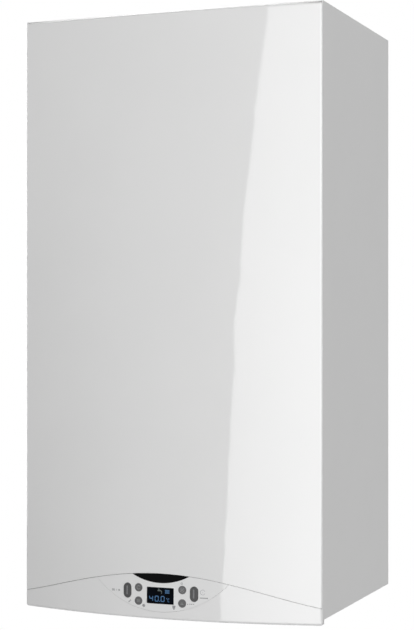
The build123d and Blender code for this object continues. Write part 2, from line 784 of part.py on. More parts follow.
def display_board():
    board = block(-DISPLAY_BOARD_HALF_WIDTH, DISPLAY_BOARD_HALF_WIDTH, BOARD_Y, BOARD_Y + BOARD_SHEET,
                  DISPLAY_BOARD_LOW, DISPLAY_BOARD_HIGH)
    half = SWITCH_SIZE / 2
    switch_front = BOARD_Y - 2 * BOARD_SHEET
    for x, z in button_places().values():
        board += block(x - half, x + half, switch_front, BOARD_Y, z - half, z + half)
    lcd_corner_y = front_y_at(LCD_WIDTH / 2, WINDOW_CENTRE_Z + LCD_HEIGHT / 2)
    lcd_front = lcd_corner_y + WINDOW_RECESS + WINDOW_THICKNESS + LCD_GAP
    board += block(-LCD_WIDTH / 2, LCD_WIDTH / 2, lcd_front, BOARD_Y, WINDOW_CENTRE_Z - LCD_HEIGHT / 2,
                   WINDOW_CENTRE_Z + LCD_HEIGHT / 2)
    return board


# ---------------------------------------------------------------- control tray
def tray_housing():
    outer = block(-TRAY_HALF_WIDTH, TRAY_HALF_WIDTH, RETURN_BACK_Y, -TRAY_BACK, TRAY_BOTTOM, TRAY_TOP)
    inner = block(-TRAY_HALF_WIDTH + TRAY_WALL, TRAY_HALF_WIDTH - TRAY_WALL, RETURN_BACK_Y + TRAY_WALL,
                  -TRAY_BACK - TRAY_WALL, TRAY_BOTTOM + TRAY_WALL, TRAY_TOP + 1)
    cable_way = block(-RIB_CABLE_HALF_WIDTH, RIB_CABLE_HALF_WIDTH, FRONT_Y, RETURN_BACK_Y + TRAY_WALL + 1,
                      RIB_CABLE_LOW, RIB_CABLE_HIGH)
    housing = outer - inner - cable_way
    board_low = TRAY_BOTTOM + TRAY_WALL
    for x, y in main_board_corners():
        housing += rod_z(x, y, board_low, MAIN_BOARD_Z, STANDOFF_RADIUS)
    ear_in = TRAY_HALF_WIDTH - EAR_THICKNESS
    ear = rod_x(PIVOT_Y, PIVOT_Z, ear_in, TRAY_HALF_WIDTH, EAR_RADIUS)
    ear += block(ear_in, TRAY_HALF_WIDTH, -TRAY_BACK - TRAY_WALL, PIVOT_Y, PIVOT_Z - EAR_RADIUS,
                 PIVOT_Z + EAR_RADIUS)
    bore = rod_x(PIVOT_Y, PIVOT_Z, ear_in - 1, TRAY_HALF_WIDTH + 1, PIN_RADIUS + PIN_GAP)
    for shape, hole in zip(both_sides(ear), both_sides(bore)):
        housing = housing + shape - hole
    return housing


def main_board_limits():
    middle = (RETURN_BACK_Y - TRAY_BACK) / 2
    return middle - MAIN_BOARD_DEPTH / 2, middle + MAIN_BOARD_DEPTH / 2


def main_board_corners():
    front, back = main_board_limits()
    x = MAIN_BOARD_HALF_WIDTH - STANDOFF_INSET
    return [(side * x, y) for side in (-1, 1) for y in (front + STANDOFF_INSET, back - STANDOFF_INSET)]


def main_board():
    front, back = main_board_limits()
    top = MAIN_BOARD_Z + BOARD_SHEET
    board = block(-MAIN_BOARD_HALF_WIDTH, MAIN_BOARD_HALF_WIDTH, front, back, MAIN_BOARD_Z, top)
    middle = (front + back) / 2
    half = TRANSFORMER_SIZE / 2
    board += block(TRANSFORMER_X - half, TRANSFORMER_X + half, middle - half, middle + half, top,
                   top + TRANSFORMER_HEIGHT)
    relay_back = back - RELAY_MARGIN
    for k in range(RELAY_COUNT):
        x = RELAY_FIRST_X + RELAY_PITCH * k
        board += block(x, x + RELAY_WIDTH, relay_back - RELAY_LENGTH, relay_back, top, top + RELAY_HEIGHT)
    plug_front = front + PLUG_MARGIN
    for k in range(PLUG_COUNT):
        x = PLUG_FIRST_X + PLUG_PITCH * k
        board += block(x, x + PLUG_WIDTH, plug_front, plug_front + PLUG_DEPTH, top, top + PLUG_HEIGHT)
    for k in range(CAPACITOR_COUNT):
        x = CAPACITOR_FIRST_X + CAPACITOR_PITCH * k
        board += rod_z(x, middle + CAPACITOR_RADIUS, top, top + CAPACITOR_HEIGHT, CAPACITOR_RADIUS)
    return board


def tray_lid():
    lid = block(-TRAY_HALF_WIDTH, TRAY_HALF_WIDTH, RETURN_BACK_Y, -TRAY_BACK, TRAY_TOP, TRAY_TOP + TRAY_LID)
    for k in range(VENT_COUNT):
        y = -TRAY_BACK - VENT_SETBACK - k * VENT_PITCH
        lid -= block(-VENT_LENGTH / 2, VENT_LENGTH / 2, y, y + VENT_WIDTH, TRAY_TOP - 1,
                     TRAY_TOP + TRAY_LID + 1)
    return lid


def tray_hinges():
    """A hanger plate under the chamber floor and a headed pin on each side."""
    plate_in = TRAY_HALF_WIDTH + HINGE_GAP
    plate_out = plate_in + HINGE_PLATE
    plate = block(plate_in, plate_out, PIVOT_Y - HINGE_HALF_DEPTH, PIVOT_Y + HINGE_HALF_DEPTH,
                  PIVOT_Z - EAR_RADIUS, FLOOR_HEIGHT)
    plate += block(plate_in, plate_in + HINGE_FOOT, PIVOT_Y - HINGE_HALF_DEPTH, PIVOT_Y + HINGE_HALF_DEPTH,
                   FLOOR_HEIGHT - HINGE_PLATE, FLOOR_HEIGHT)
    pin = rod_x(PIVOT_Y, PIVOT_Z, TRAY_HALF_WIDTH - EAR_THICKNESS - 2, plate_out, PIN_RADIUS)
    pin += rod_x(PIVOT_Y, PIVOT_Z, plate_out, plate_out + PIN_HEAD, PIN_HEAD_RADIUS)
    plate -= rod_x(PIVOT_Y, PIVOT_Z, plate_in - 1, plate_out + 1, PIN_RADIUS)
    return Compound(children=both_sides(plate) + both_sides(pin))


# ---------------------------------------------------------------- sheet-metal casing
def wall_bracket():
    low = BRACKET_HEIGHT - BRACKET_PLATE_HEIGHT / 2
    half = BRACKET_LENGTH / 2
    lip_front = -BRACKET_REACH - BRACKET_SHEET
    bracket = block(-half, half, -BRACKET_SHEET, 0, low, low + BRACKET_PLATE_HEIGHT)
    bracket += block(-half, half, lip_front, 0, low, low + BRACKET_SHEET)
    bracket += block(-half, half, lip_front, -BRACKET_REACH, low, low + BRACKET_LIP_HEIGHT)
    for side in (-1, 1):
        x = side * BRACKET_HOLE_SPACING / 2
        bracket -= rod_y(x, BRACKET_HEIGHT, -FAR, FAR, BRACKET_HOLE_RADIUS)
    return bracket


def hook():
    """A tongue on the back panel that hangs behind the bracket's lip."""
    low = BRACKET_HEIGHT - BRACKET_PLATE_HEIGHT / 2 + BRACKET_SHEET + HOOK_SEAT
    leg_front = -BRACKET_REACH + HOOK_CLEARANCE
    leg_back = leg_front + HOOK_SHEET
    bridge = BRACKET_HEIGHT - BRACKET_PLATE_HEIGHT / 2 + BRACKET_LIP_HEIGHT + HOOK_CLEARANCE
    left, right = HOOK_OFFSET - HOOK_WIDTH / 2, HOOK_OFFSET + HOOK_WIDTH / 2
    tongue = block(left, right, leg_front, leg_back, low, bridge + HOOK_SHEET)
    return tongue + block(left, right, BACK_Y, leg_back, bridge, bridge + HOOK_SHEET)


def back_frame():
    low, high = TOP_CLEARANCE + BACK_SHEET, CASE_HEIGHT - TOP_SHEET - TOP_CLEARANCE
    frame = block(-BACK_HALF, BACK_HALF, BACK_FACE_Y, BACK_Y, low, high)
    side = block(BACK_HALF - BACK_SHEET, BACK_HALF, BACK_Y - BACK_FLANGE, BACK_Y, low, high)
    for shape in both_sides(side) + both_sides(hook()):
        frame += shape
    rib = block(BACK_RIB_X - BACK_RIB_WIDTH / 2, BACK_RIB_X + BACK_RIB_WIDTH / 2, BACK_Y,
                BACK_Y + BACK_RIB_HEIGHT, BACK_RIB_LOW, BACK_RIB_HIGH)
    for shape in both_sides(rib):
        frame += shape
    return frame


def side_panel():
    """The right-hand side panel."""
    panel = block(SIDE_INNER, HALF_WIDTH, PANEL_FRONT_Y, 0, 0, CASE_HEIGHT)
    flange_in = SIDE_INNER - SIDE_FLANGE
    panel += block(flange_in, HALF_WIDTH, SEAL_BACK_Y, SEAL_BACK_Y + SIDE_SHEET, 0,
                   CASE_HEIGHT - TOP_SHEET - TOP_CLEARANCE)
    panel += block(flange_in, HALF_WIDTH, -SIDE_SHEET, 0, 0, CASE_HEIGHT - TOP_SHEET - TOP_CLEARANCE)
    panel += block(SIDE_INNER - BOTTOM_HEM, HALF_WIDTH, SEAL_BACK_Y, 0, 0, SIDE_SHEET)
    screw_land = 2 * SCREW_INSET_X
    top = CASE_HEIGHT - TOP_SHEET - TOP_CLEARANCE
    for distance in (SCREW_FRONT, SCREW_BACK):
        land = block(SIDE_INNER - screw_land, HALF_WIDTH, -distance - SCREW_INSET_X,
                     -distance + SCREW_INSET_X, top - SIDE_SHEET, top)
        land -= rod_z(HALF_WIDTH - SCREW_INSET_X, -distance, 0, FAR, SCREW_RADIUS + SCREW_GAP)
        panel += land
    return panel


def top_panel():
    low = CASE_HEIGHT - TOP_SHEET
    panel = block(-TOP_HALF, TOP_HALF, PANEL_FRONT_Y, -TOP_SHEET - TOP_CLEARANCE, low, CASE_HEIGHT)
    flange_half = SIDE_INNER - SIDE_FLANGE - TOP_CLEARANCE
    panel += block(-flange_half, flange_half, SEAL_BACK_Y, SEAL_BACK_Y + TOP_SHEET, low - TOP_SKIRT, low)
    panel -= rod_z(0, FLUE_Y, low - 1, CASE_HEIGHT + 1, COLLAR_RADIUS - COLLAR_WALL)
    for x, y in screw_places():
        panel -= rod_z(x, y, low - 1, CASE_HEIGHT + 1, SCREW_RADIUS + SCREW_GAP)
    return panel


def floor_holes():
    """Radius of each pipe through the chamber floor, with its place."""
    pitch = CONNECTION_PITCH
    holes = [(side * 2 * pitch, CONNECTION_Y, HEATING_THREAD_RADIUS) for side in (-1, 1)]
    holes += [(side * pitch, CONNECTION_Y, WATER_THREAD_RADIUS) for side in (-1, 1)]
    holes += [(0, CONNECTION_Y, HEATING_THREAD_RADIUS), (HOSE_X, -HOSE_DISTANCE, HOSE_RADIUS)]
    return holes


def chamber_floor():
    front = SEAL_BACK_Y
    wide = SIDE_INNER - TOP_CLEARANCE
    narrow = BACK_HALF - BACK_SHEET - TOP_CLEARANCE
    flange_y = BACK_Y - BACK_FLANGE - TOP_CLEARANCE
    floor = block(-wide, wide, front + FLOOR_SHEET, flange_y, FLOOR_HEIGHT, FLOOR_TOP)
    floor += block(-narrow, narrow, flange_y, BACK_FACE_Y, FLOOR_HEIGHT, FLOOR_TOP)
    front_half = SIDE_INNER - SIDE_FLANGE - TOP_CLEARANCE
    floor = floor - block(front_half, HALF_WIDTH, front, front + 3 * FLOOR_SHEET, 0, CASE_HEIGHT)
    floor = floor - block(-HALF_WIDTH, -front_half, front, front + 3 * FLOOR_SHEET, 0, CASE_HEIGHT)
    floor += block(-front_half, front_half, front, front + FLOOR_SHEET, FLOOR_HEIGHT,
                   FLOOR_HEIGHT + FLOOR_FLANGE)
    for x, y, radius in floor_holes():
        floor -= rod_z(x, y, FLOOR_HEIGHT - 1, FLOOR_TOP + 1, radius + GROMMET_NECK + GROMMET_FIT)
    floor -= rod_z(FILLING_X, CONNECTION_Y, FLOOR_HEIGHT - 1, FLOOR_TOP + 1, FILLING_RADIUS + KNOB_GAP)
    return floor


def floor_grommets():
    """One grooved rubber ring for each pipe through the chamber floor."""
    rings = []
    for x, y, radius in floor_holes():
        outer = radius + GROMMET_LIP
        low = FLOOR_HEIGHT - GROMMET_FLANGE - GROMMET_FIT
        high = FLOOR_TOP + GROMMET_FLANGE + GROMMET_FIT
        ring = rod_z(x, y, low, low + GROMMET_FLANGE, outer)
        ring += rod_z(x, y, high - GROMMET_FLANGE, high, outer)
        ring += rod_z(x, y, low, high, radius + GROMMET_NECK)
        rings.append(ring - rod_z(x, y, low - 1, high + 1, radius + GROMMET_FIT))
    return Compound(children=rings)


def front_seal():
    """The foam ring that closes the chamber against the cover."""
    outer_x = RETURN_HALF - COVER_HEM / 2
    low, high = FLOOR_TOP, COVER_TOP - COVER_SHEET / 2
    front, back = RETURN_BACK_Y + SEAL_GAP, SEAL_BACK_Y
    ring = block(-outer_x, outer_x, front, back, low, high)
    return ring - block(-outer_x + SEAL_WIDTH, outer_x - SEAL_WIDTH, front - 1, back + 1, low + SEAL_WIDTH,
                        high - SEAL_WIDTH)


def screw_places():
    x = HALF_WIDTH - SCREW_INSET_X
    return [(side * x, -distance) for side in (-1, 1) for distance in (SCREW_FRONT, SCREW_BACK)]


def casing_screws():
    """Four pan-head screws that hold the top panel."""
    screws = []
    for x, y in screw_places():
        screw = rod_z(x, y, CASE_HEIGHT - SCREW_LENGTH, CASE_HEIGHT, SCREW_RADIUS)
        head = rod_z(x, y, CASE_HEIGHT, CASE_HEIGHT + SCREW_HEAD, SCREW_HEAD_RADIUS)
        head = fillet(head.edges().sort_by(Axis.Z)[-1], SCREW_HEAD / 2)
        head -= block(x - SCREW_HEAD_RADIUS, x + SCREW_HEAD_RADIUS, y - SCREW_SLOT / 2,
                      y + SCREW_SLOT / 2, CASE_HEIGHT + SCREW_HEAD / 2, CASE_HEIGHT + SCREW_HEAD + 1)
        screws.append(screw + head)
    return Compound(children=screws)


# ---------------------------------------------------------------- flue and heat exchanger
def flue_collar():
    """The air collar on the top panel, around the flue's socket."""
    base = CASE_HEIGHT
    collar = rod_z(0, FLUE_Y, base, base + COLLAR_FLANGE, COLLAR_FLANGE_RADIUS)
    collar += rod_z(0, FLUE_Y, base, base + COLLAR_HEIGHT, COLLAR_RADIUS)
    collar -= rod_z(0, FLUE_Y, base - 1, base + COLLAR_HEIGHT + 1, COLLAR_RADIUS - COLLAR_WALL)
    return collar


def flue_duct():
    """The flue pipe from the exchanger to its socket inside the collar."""
    top = CASE_HEIGHT + FLUE_SOCKET_TOP
    socket_outer = FLUE_SOCKET_RADIUS + FLUE_SOCKET_WALL
    start = SOCKET_TOP - FLUE_SOCKET_DEPTH
    duct = rod_z(0, FLUE_Y, start, top - FLUE_SOCKET_DEPTH, FLUE_RADIUS)
    duct += rod_z(0, FLUE_Y, top - FLUE_SOCKET_DEPTH - FLUE_SOCKET_WALL, top, socket_outer)
    duct -= rod_z(0, FLUE_Y, start - 1, top, FLUE_RADIUS - FLUE_WALL)
    return duct - rod_z(0, FLUE_Y, top - FLUE_SOCKET_DEPTH, top + 1, FLUE_SOCKET_RADIUS)


def stud_places():
    first = 180 / DOOR_STUDS
    return around_y(EXCHANGER_X, EXCHANGER_Z, DOOR_STUD_CIRCLE, DOOR_STUDS, first)


def exchanger_shell():
    x, z = EXCHANGER_X, EXCHANGER_Z
    shell = rod_y(x, z, EXCHANGER_FRONT_Y, EXCHANGER_BACK_Y, EXCHANGER_RADIUS)
    mid_y = FLUE_Y
    socket_outer = FLUE_RADIUS + SOCKET_GAP + SOCKET_WALL
    shell += rod_z(0, mid_y, EXCHANGER_Z, SOCKET_TOP, socket_outer)
    for side in (-1, 1):
        shell += rod_z(x + side * PORT_OFFSET, mid_y, PORT_BOTTOM, EXCHANGER_Z, PORT_RADIUS)
    shell += rod_z(x, mid_y, DRAIN_BOTTOM, EXCHANGER_Z, DRAIN_RADIUS)
    shell -= rod_y(x, z, EXCHANGER_FRONT_Y - 1, EXCHANGER_BACK_Y - EXCHANGER_WALL, EXCHANGER_BORE)
    shell -= rod_z(0, mid_y, SOCKET_TOP - FLUE_SOCKET_DEPTH - 1, SOCKET_TOP + 1, FLUE_RADIUS + SOCKET_GAP)
    shell -= rod_z(0, mid_y, EXCHANGER_Z, SOCKET_TOP, FLUE_RADIUS - FLUE_WALL)
    for side in (-1, 1):
        port_x = x + side * PORT_OFFSET
        shell -= rod_z(port_x, mid_y, PORT_BOTTOM - 1, EXCHANGER_Z, PIPE_RADIUS - PIPE_WALL)
    shell -= rod_z(x, mid_y, DRAIN_BOTTOM - 1, EXCHANGER_Z, DRAIN_RADIUS - SOCKET_WALL)
    for px, pz in stud_places():
        shell += rod_y(px, pz, EXCHANGER_FRONT_Y, EXCHANGER_FRONT_Y + COIL_FRONT_GAP / 2, NUT_RADIUS)
    return shell


def exchanger_coil():
    """Flattened hollow turns of stainless tube, held at their pitch by combs."""
    first = EXCHANGER_FRONT_Y + COIL_FRONT_GAP
    width = COIL_OUTER_RADIUS - COIL_INNER_RADIUS
    middle = (COIL_OUTER_RADIUS + COIL_INNER_RADIUS) / 2
    section = Rectangle(width, COIL_TURN) - Rectangle(width - 2 * COIL_WALL, COIL_TURN - 2 * COIL_WALL)
    section -= Pos(width / 2, 0) * Rectangle(4 * COIL_WALL, COIL_SLIT)
    turn = revolve(Pos(middle, 0) * section, Axis.Y)
    coil = Part()
    for k in range(COIL_TURNS):
        coil += Pos(EXCHANGER_X, first + COIL_TURN / 2 + k * COIL_PITCH, EXCHANGER_Z) * turn
    length = (COIL_TURNS - 1) * COIL_PITCH + COIL_TURN
    comb = block(COIL_OUTER_RADIUS - COIL_WALL / 2, EXCHANGER_BORE - STUD_GAP, 0, length,
                 -COMB_WIDTH / 2, COMB_WIDTH / 2)
    for k in range(COMB_COUNT):
        angle = (k + 0.5) * 360 / COMB_COUNT
        coil += Pos(EXCHANGER_X, first, EXCHANGER_Z) * Rot(0, angle, 0) * comb
    return coil


def burner_door():
    """The cast door that closes the exchanger's front."""
    x, z = EXCHANGER_X, EXCHANGER_Z
    door = rod_y(x, z, DOOR_FRONT_Y, EXCHANGER_FRONT_Y, EXCHANGER_RADIUS)
    door -= rod_y(x, z, DOOR_FRONT_Y - 1, EXCHANGER_FRONT_Y + 1, DOOR_HOLE_RADIUS)
    door -= ring_y(x, z, DOOR_FRONT_Y - 1, DOOR_FRONT_Y + DOOR_RIB, DOOR_RIB_RADIUS,
                   DOOR_RIB_RADIUS - DOOR_RIB_WIDTH)
    for px, pz in stud_places():
        door -= rod_y(px, pz, -FAR, 0, STUD_RADIUS + STUD_GAP)
    electrode_x, electrode_z = electrode_place()
    return door - rod_y(electrode_x, electrode_z, -FAR, 0, ELECTRODE_RADIUS + INSERT_GAP)


def door_nuts():
    """Studs with hexagon nuts around the burner door."""
    nuts = []
    for x, z in stud_places():
        nut = Plane.XZ * Pos(x, z) * RegularPolygon(NUT_RADIUS, 6)
        nut = Pos(0, DOOR_FRONT_Y, 0) * extrude(nut, amount=NUT_HEIGHT)
        stud_front = DOOR_FRONT_Y - NUT_HEIGHT - STUD_END
        nuts.append(nut + rod_y(x, z, stud_front, EXCHANGER_FRONT_Y, STUD_RADIUS))
    return Compound(children=nuts)


def burner_tube():
    """The slotted burner that stands on the door, inside the coil."""
    x, z = EXCHANGER_X, EXCHANGER_Z
    back = EXCHANGER_FRONT_Y + BURNER_LENGTH
    tube = rod_y(x, z, EXCHANGER_FRONT_Y, back, BURNER_RADIUS)
    tube -= rod_y(x, z, EXCHANGER_FRONT_Y - 1, back - BURNER_WALL, BURNER_RADIUS - BURNER_WALL)
    tube += ring_y(x, z, EXCHANGER_FRONT_Y, EXCHANGER_FRONT_Y + BURNER_RIM,
                   BURNER_RADIUS + BURNER_RIM_WIDTH, BURNER_RADIUS - BURNER_WALL)
    for row in range(BURNER_SLOT_ROWS):
        y = EXCHANGER_FRONT_Y + BURNER_SLOT_START + row * BURNER_SLOT_PITCH
        for k in range(BURNER_SLOTS):
            angle = 360.0 * k / BURNER_SLOTS
            slot = block(BURNER_RADIUS - 3 * BURNER_WALL, BURNER_RADIUS + 1, y, y + BURNER_SLOT_WIDTH,
                         -BURNER_SLOT_LENGTH / 2, BURNER_SLOT_LENGTH / 2)
            tube -= Pos(x, 0, z) * Rot(0, angle, 0) * slot
    return tube


def electrode_place():
    return around_y(EXCHANGER_X, EXCHANGER_Z, ELECTRODE_OFFSET, 1, ELECTRODE_ANGLE)[0]


def ignition_electrode():
    """A ceramic body through the door with its metal rod beside the burner."""
    x, z = electrode_place()
    body = rod_y(x, z, DOOR_FRONT_Y - ELECTRODE_LENGTH / 2, DOOR_FRONT_Y + ELECTRODE_LENGTH / 2,
                 ELECTRODE_RADIUS)
    body += rod_y(x, z, DOOR_FRONT_Y - ELECTRODE_FLANGE, DOOR_FRONT_Y, 2 * ELECTRODE_RADIUS)
    rod_start = DOOR_FRONT_Y - ELECTRODE_LENGTH / 2 - ELECTRODE_TIP
    return body + rod_y(x, z, rod_start, EXCHANGER_FRONT_Y + ELECTRODE_ROD, ELECTRODE_ROD_RADIUS)


def expansion_vessel():
    """The flat round vessel behind the exchanger, with its port at the bottom."""
    body = rod_y(0, VESSEL_Z, VESSEL_FRONT_Y, VESSEL_BACK_Y, VESSEL_RADIUS)
    body = fillet(body.edges().filter_by(GeomType.CIRCLE), VESSEL_EDGE)
    middle = vessel_port_y()
    rim = rod_y(0, VESSEL_Z, middle - VESSEL_WALL, middle + VESSEL_WALL, VESSEL_RADIUS + VESSEL_RIM)
    low = VESSEL_Z - VESSEL_RADIUS
    port = rod_z(0, middle, low - VESSEL_PORT, low + VESSEL_WALL, VESSEL_PORT_RADIUS)
    hollow = rod_y(0, VESSEL_Z, VESSEL_FRONT_Y + VESSEL_WALL, VESSEL_BACK_Y - VESSEL_WALL,
                   VESSEL_RADIUS - VESSEL_WALL)
    hollow = fillet(hollow.edges().filter_by(GeomType.CIRCLE), VESSEL_EDGE - VESSEL_WALL)
    bore = rod_z(0, middle, low - VESSEL_PORT - 1, low + 2 * VESSEL_WALL, VESSEL_PIPE_RADIUS)
    return (body + rim + port) - hollow - bore


def vessel_port_y():
    return (VESSEL_FRONT_Y + VESSEL_BACK_Y) / 2


def vessel_pipe():
    """The thin copper pipe from the vessel to the return manifold."""
    port_y = vessel_port_y()
    start_z = VESSEL_Z - VESSEL_RADIUS - VESSEL_PORT
    bend_z = start_z - VESSEL_PIPE_DROP
    foot_y = -VESSEL_FOOT_DISTANCE
    points = [(0, port_y, start_z), (0, port_y, bend_z),
              (VESSEL_FOOT_X, foot_y, bend_z - VESSEL_PIPE_SLOPE), (VESSEL_FOOT_X, foot_y, MANIFOLD_HIGH)]
    return pipe(points, VESSEL_PIPE_CORNER, VESSEL_PIPE_RADIUS, PIPE_WALL)


# ---------------------------------------------------------------- fan, mixer and gas
def fan_housing():
    """The round fan casing with its outlet going up to the mixture duct."""
    x, z = FAN_X, FAN_Z
    outlet_low, outlet_high = FAN_Z, DUCT_JOINT_Z
    left, right = DUCT_X - DUCT_WIDTH / 2, DUCT_X + DUCT_WIDTH / 2
    housing = rod_y(x, z, FAN_FRONT_Y, DOOR_FRONT_Y, FAN_RADIUS)
    housing += block(left, right, FAN_FRONT_Y, DOOR_FRONT_Y, outlet_low, outlet_high)
    inner_front, inner_back = FAN_FRONT_Y + FAN_WALL, DOOR_FRONT_Y - FAN_WALL
    housing -= rod_y(x, z, inner_front, inner_back, FAN_RADIUS - FAN_WALL)
    housing -= block(left + FAN_WALL, right - FAN_WALL, inner_front, inner_back, outlet_low, outlet_high + 1)
    housing -= rod_y(x, z, inner_back - 1, DOOR_FRONT_Y + 1, FAN_INLET_RADIUS)
    return housing - rod_y(x, z, FAN_FRONT_Y - 1, inner_front + 1, 2 * FAN_SHAFT_RADIUS)


def fan_motor():
    """The fan's motor on the front of its casing, with the shaft."""
    x, z = FAN_X, FAN_Z
    front = FAN_FRONT_Y - FAN_MOTOR_LENGTH
    motor = rod_y(x, z, front, FAN_FRONT_Y, FAN_MOTOR_RADIUS)
    motor = fillet(motor.edges().sort_by(Axis.Y)[0], FAN_MOTOR_EDGE)
    groove_front, groove_back = front + FAN_GROOVE_FRONT, FAN_FRONT_Y - FAN_GROOVE_BACK
    for px, pz in around_y(x, z, FAN_MOTOR_RADIUS, FAN_FINS):
        motor -= rod_y(px, pz, groove_front, groove_back, FAN_GROOVE_RADIUS)
    shaft_end = DOOR_FRONT_Y - FAN_WALL - SHAFT_END_GAP
    return motor + rod_y(x, z, FAN_FRONT_Y, shaft_end, FAN_SHAFT_RADIUS)


def fan_impeller():
    """A forward-bladed wheel on the fan motor's shaft."""
    x, z = FAN_X, FAN_Z
    front = FAN_FRONT_Y + FAN_WALL + IMPELLER_CLEARANCE
    back = front + IMPELLER_WIDTH
    wheel = rod_y(x, z, front, front + IMPELLER_DISC, IMPELLER_RADIUS)
    wheel += rod_y(x, z, front, front + IMPELLER_WIDTH / 2, HUB_RADIUS)
    blade_foot = IMPELLER_RADIUS - BLADE_LENGTH
    wheel += ring_y(x, z, back - IMPELLER_DISC, back, IMPELLER_RADIUS, blade_foot + BLADE_LAP)
    blade = block(blade_foot, IMPELLER_RADIUS - BLADE_TIP, front, back, -BLADE_THICKNESS / 2,
                  BLADE_THICKNESS / 2)
    for k in range(IMPELLER_BLADES):
        angle = 360.0 * k / IMPELLER_BLADES
        wheel += Pos(x, 0, z) * Rot(0, angle, 0) * blade
    return wheel - rod_y(x, z, front - 1, back + 1, FAN_SHAFT_RADIUS + FAN_SHAFT_GAP)


def duct_run(width, start_z, end_x):
    """The bent run of the mixture duct, as a solid bar."""
    middle_y = (FAN_FRONT_Y + DOOR_FRONT_Y) / 2
    points = [(DUCT_X, middle_y, start_z), (DUCT_X, middle_y, EXCHANGER_Z), (end_x, middle_y, EXCHANGER_Z)]
    path = FilletPolyline(*points, radius=DUCT_WIDTH / 2 + DUCT_CORNER)
    profile = Plane(origin=path @ 0, z_dir=path % 0) * RectangleRounded(width, width, width / 8)
    return sweep(profile, path)


def mixture_duct():
    """The cast duct from the fan to the middle of the burner door."""
    x, z = EXCHANGER_X, EXCHANGER_Z
    end_x = x - DUCT_WIDTH / 2
    duct = duct_run(DUCT_WIDTH, DUCT_JOINT_Z, end_x)
    duct += rod_y(x, z, FAN_FRONT_Y, DOOR_FRONT_Y, DOOR_HOLE_RADIUS + DUCT_BOSS)
    duct -= duct_run(DUCT_WIDTH - 2 * DUCT_WALL, DUCT_JOINT_Z - 1, end_x + DUCT_WALL)
    return duct - rod_y(x, z, FAN_FRONT_Y + DUCT_WALL, DOOR_FRONT_Y + 1, DOOR_HOLE_RADIUS - DUCT_BOSS)


def air_gas_mixer():
    """The venturi behind the fan, with the gas port under it."""
    x, z = FAN_X, FAN_Z
    mixer = rod_y(x, z, DOOR_FRONT_Y, MIXER_BACK_Y, MIXER_RADIUS)
    port_y = gas_port_y()
    mixer += rod_z(x, port_y, GAS_VALVE_TOP, FAN_Z, MIXER_GAS_RADIUS)
    third = MIXER_LENGTH / 3
    bore = rod_y(x, z, DOOR_FRONT_Y - 1, MIXER_BACK_Y + 1, MIXER_THROAT)
    for low, high in ((DOOR_FRONT_Y - 1, DOOR_FRONT_Y + third), (MIXER_BACK_Y - third, MIXER_BACK_Y + 1)):
        bore += rod_y(x, z, low, high, MIXER_BORE)
    gas_bore = rod_z(x, port_y, GAS_VALVE_TOP - 1, FAN_Z, MIXER_GAS_RADIUS / 2)
    return mixer - bore - gas_bore


def gas_port_y():
    return (DOOR_FRONT_Y + MIXER_BACK_Y) / 2


def gas_valve():
    """The gas valve's body with its two coils."""
    y = gas_port_y()
    low = GAS_VALVE_TOP - GAS_VALVE_HEIGHT
    half = GAS_VALVE_WIDTH / 2
    front, back = y - GAS_VALVE_DEPTH / 2, y + GAS_VALVE_DEPTH / 2
    body = block(FAN_X - half, FAN_X + half, front, back, low, GAS_VALVE_TOP)
    body = fillet(body.edges().filter_by(Axis.Z), GAS_VALVE_EDGE)
    middle_z = (low + GAS_VALVE_TOP) / 2
    for z in (middle_z - GAS_COIL_PITCH / 2, middle_z + GAS_COIL_PITCH / 2):
        body += rod_y(FAN_X - GAS_COIL_OFFSET, z, front - GAS_COIL_LENGTH, front, GAS_COIL_RADIUS)
    body += rod_z(FAN_X, y, low - GAS_VALVE_NECK, low, MIXER_GAS_RADIUS + 2)
    body -= rod_z(FAN_X, y, low - GAS_VALVE_NECK - 1, low + GAS_VALVE_BORE_DEPTH, MIXER_GAS_RADIUS - 2)
    bore_low = GAS_VALVE_TOP - GAS_VALVE_BORE_DEPTH
    return body - rod_z(FAN_X, y, bore_low, GAS_VALVE_TOP + 1, MIXER_GAS_RADIUS / 2)


def threaded_tail(x, thread, bore, top):
    """A connection tail: thread below, flange, and plain tube up to what it joins."""
    y = CONNECTION_Y
    end = -TAIL_END
    flange_low = end + TAIL_THREAD
    tail = rod_z(x, y, end, top, thread)
    tail = chamfer(tail.edges().sort_by(Axis.Z)[0], TAIL_CHAMFER)
    tail += rod_z(x, y, flange_low, flange_low + TAIL_FLANGE_THICKNESS, thread + TAIL_FLANGE)
    return tail - rod_z(x, y, end - 1, top + 1, bore)


def gas_inlet_pipe():
    """The gas tail and the pipe from it to the gas valve."""
    valve_y = gas_port_y()
    valve_z = GAS_VALVE_TOP - GAS_VALVE_HEIGHT - GAS_VALVE_NECK
    neck = FLOOR_TOP + GAS_TAIL_NECK
    radius = PIPE_RADIUS - 1
    low = valve_z - GAS_PIPE_FALL
    middle = low + GAS_PIPE_SLOPE
    points = [(0, CONNECTION_Y, neck - 1), (0, CONNECTION_Y, middle + GAS_PIPE_RISE),
              (FAN_X / 2, valve_y, middle), (FAN_X, valve_y, low), (FAN_X, valve_y, valve_z)]
    tube = pipe(points, GAS_PIPE_CORNER, radius, PIPE_WALL)
    return threaded_tail(0, HEATING_THREAD_RADIUS, radius - PIPE_WALL, neck) + tube


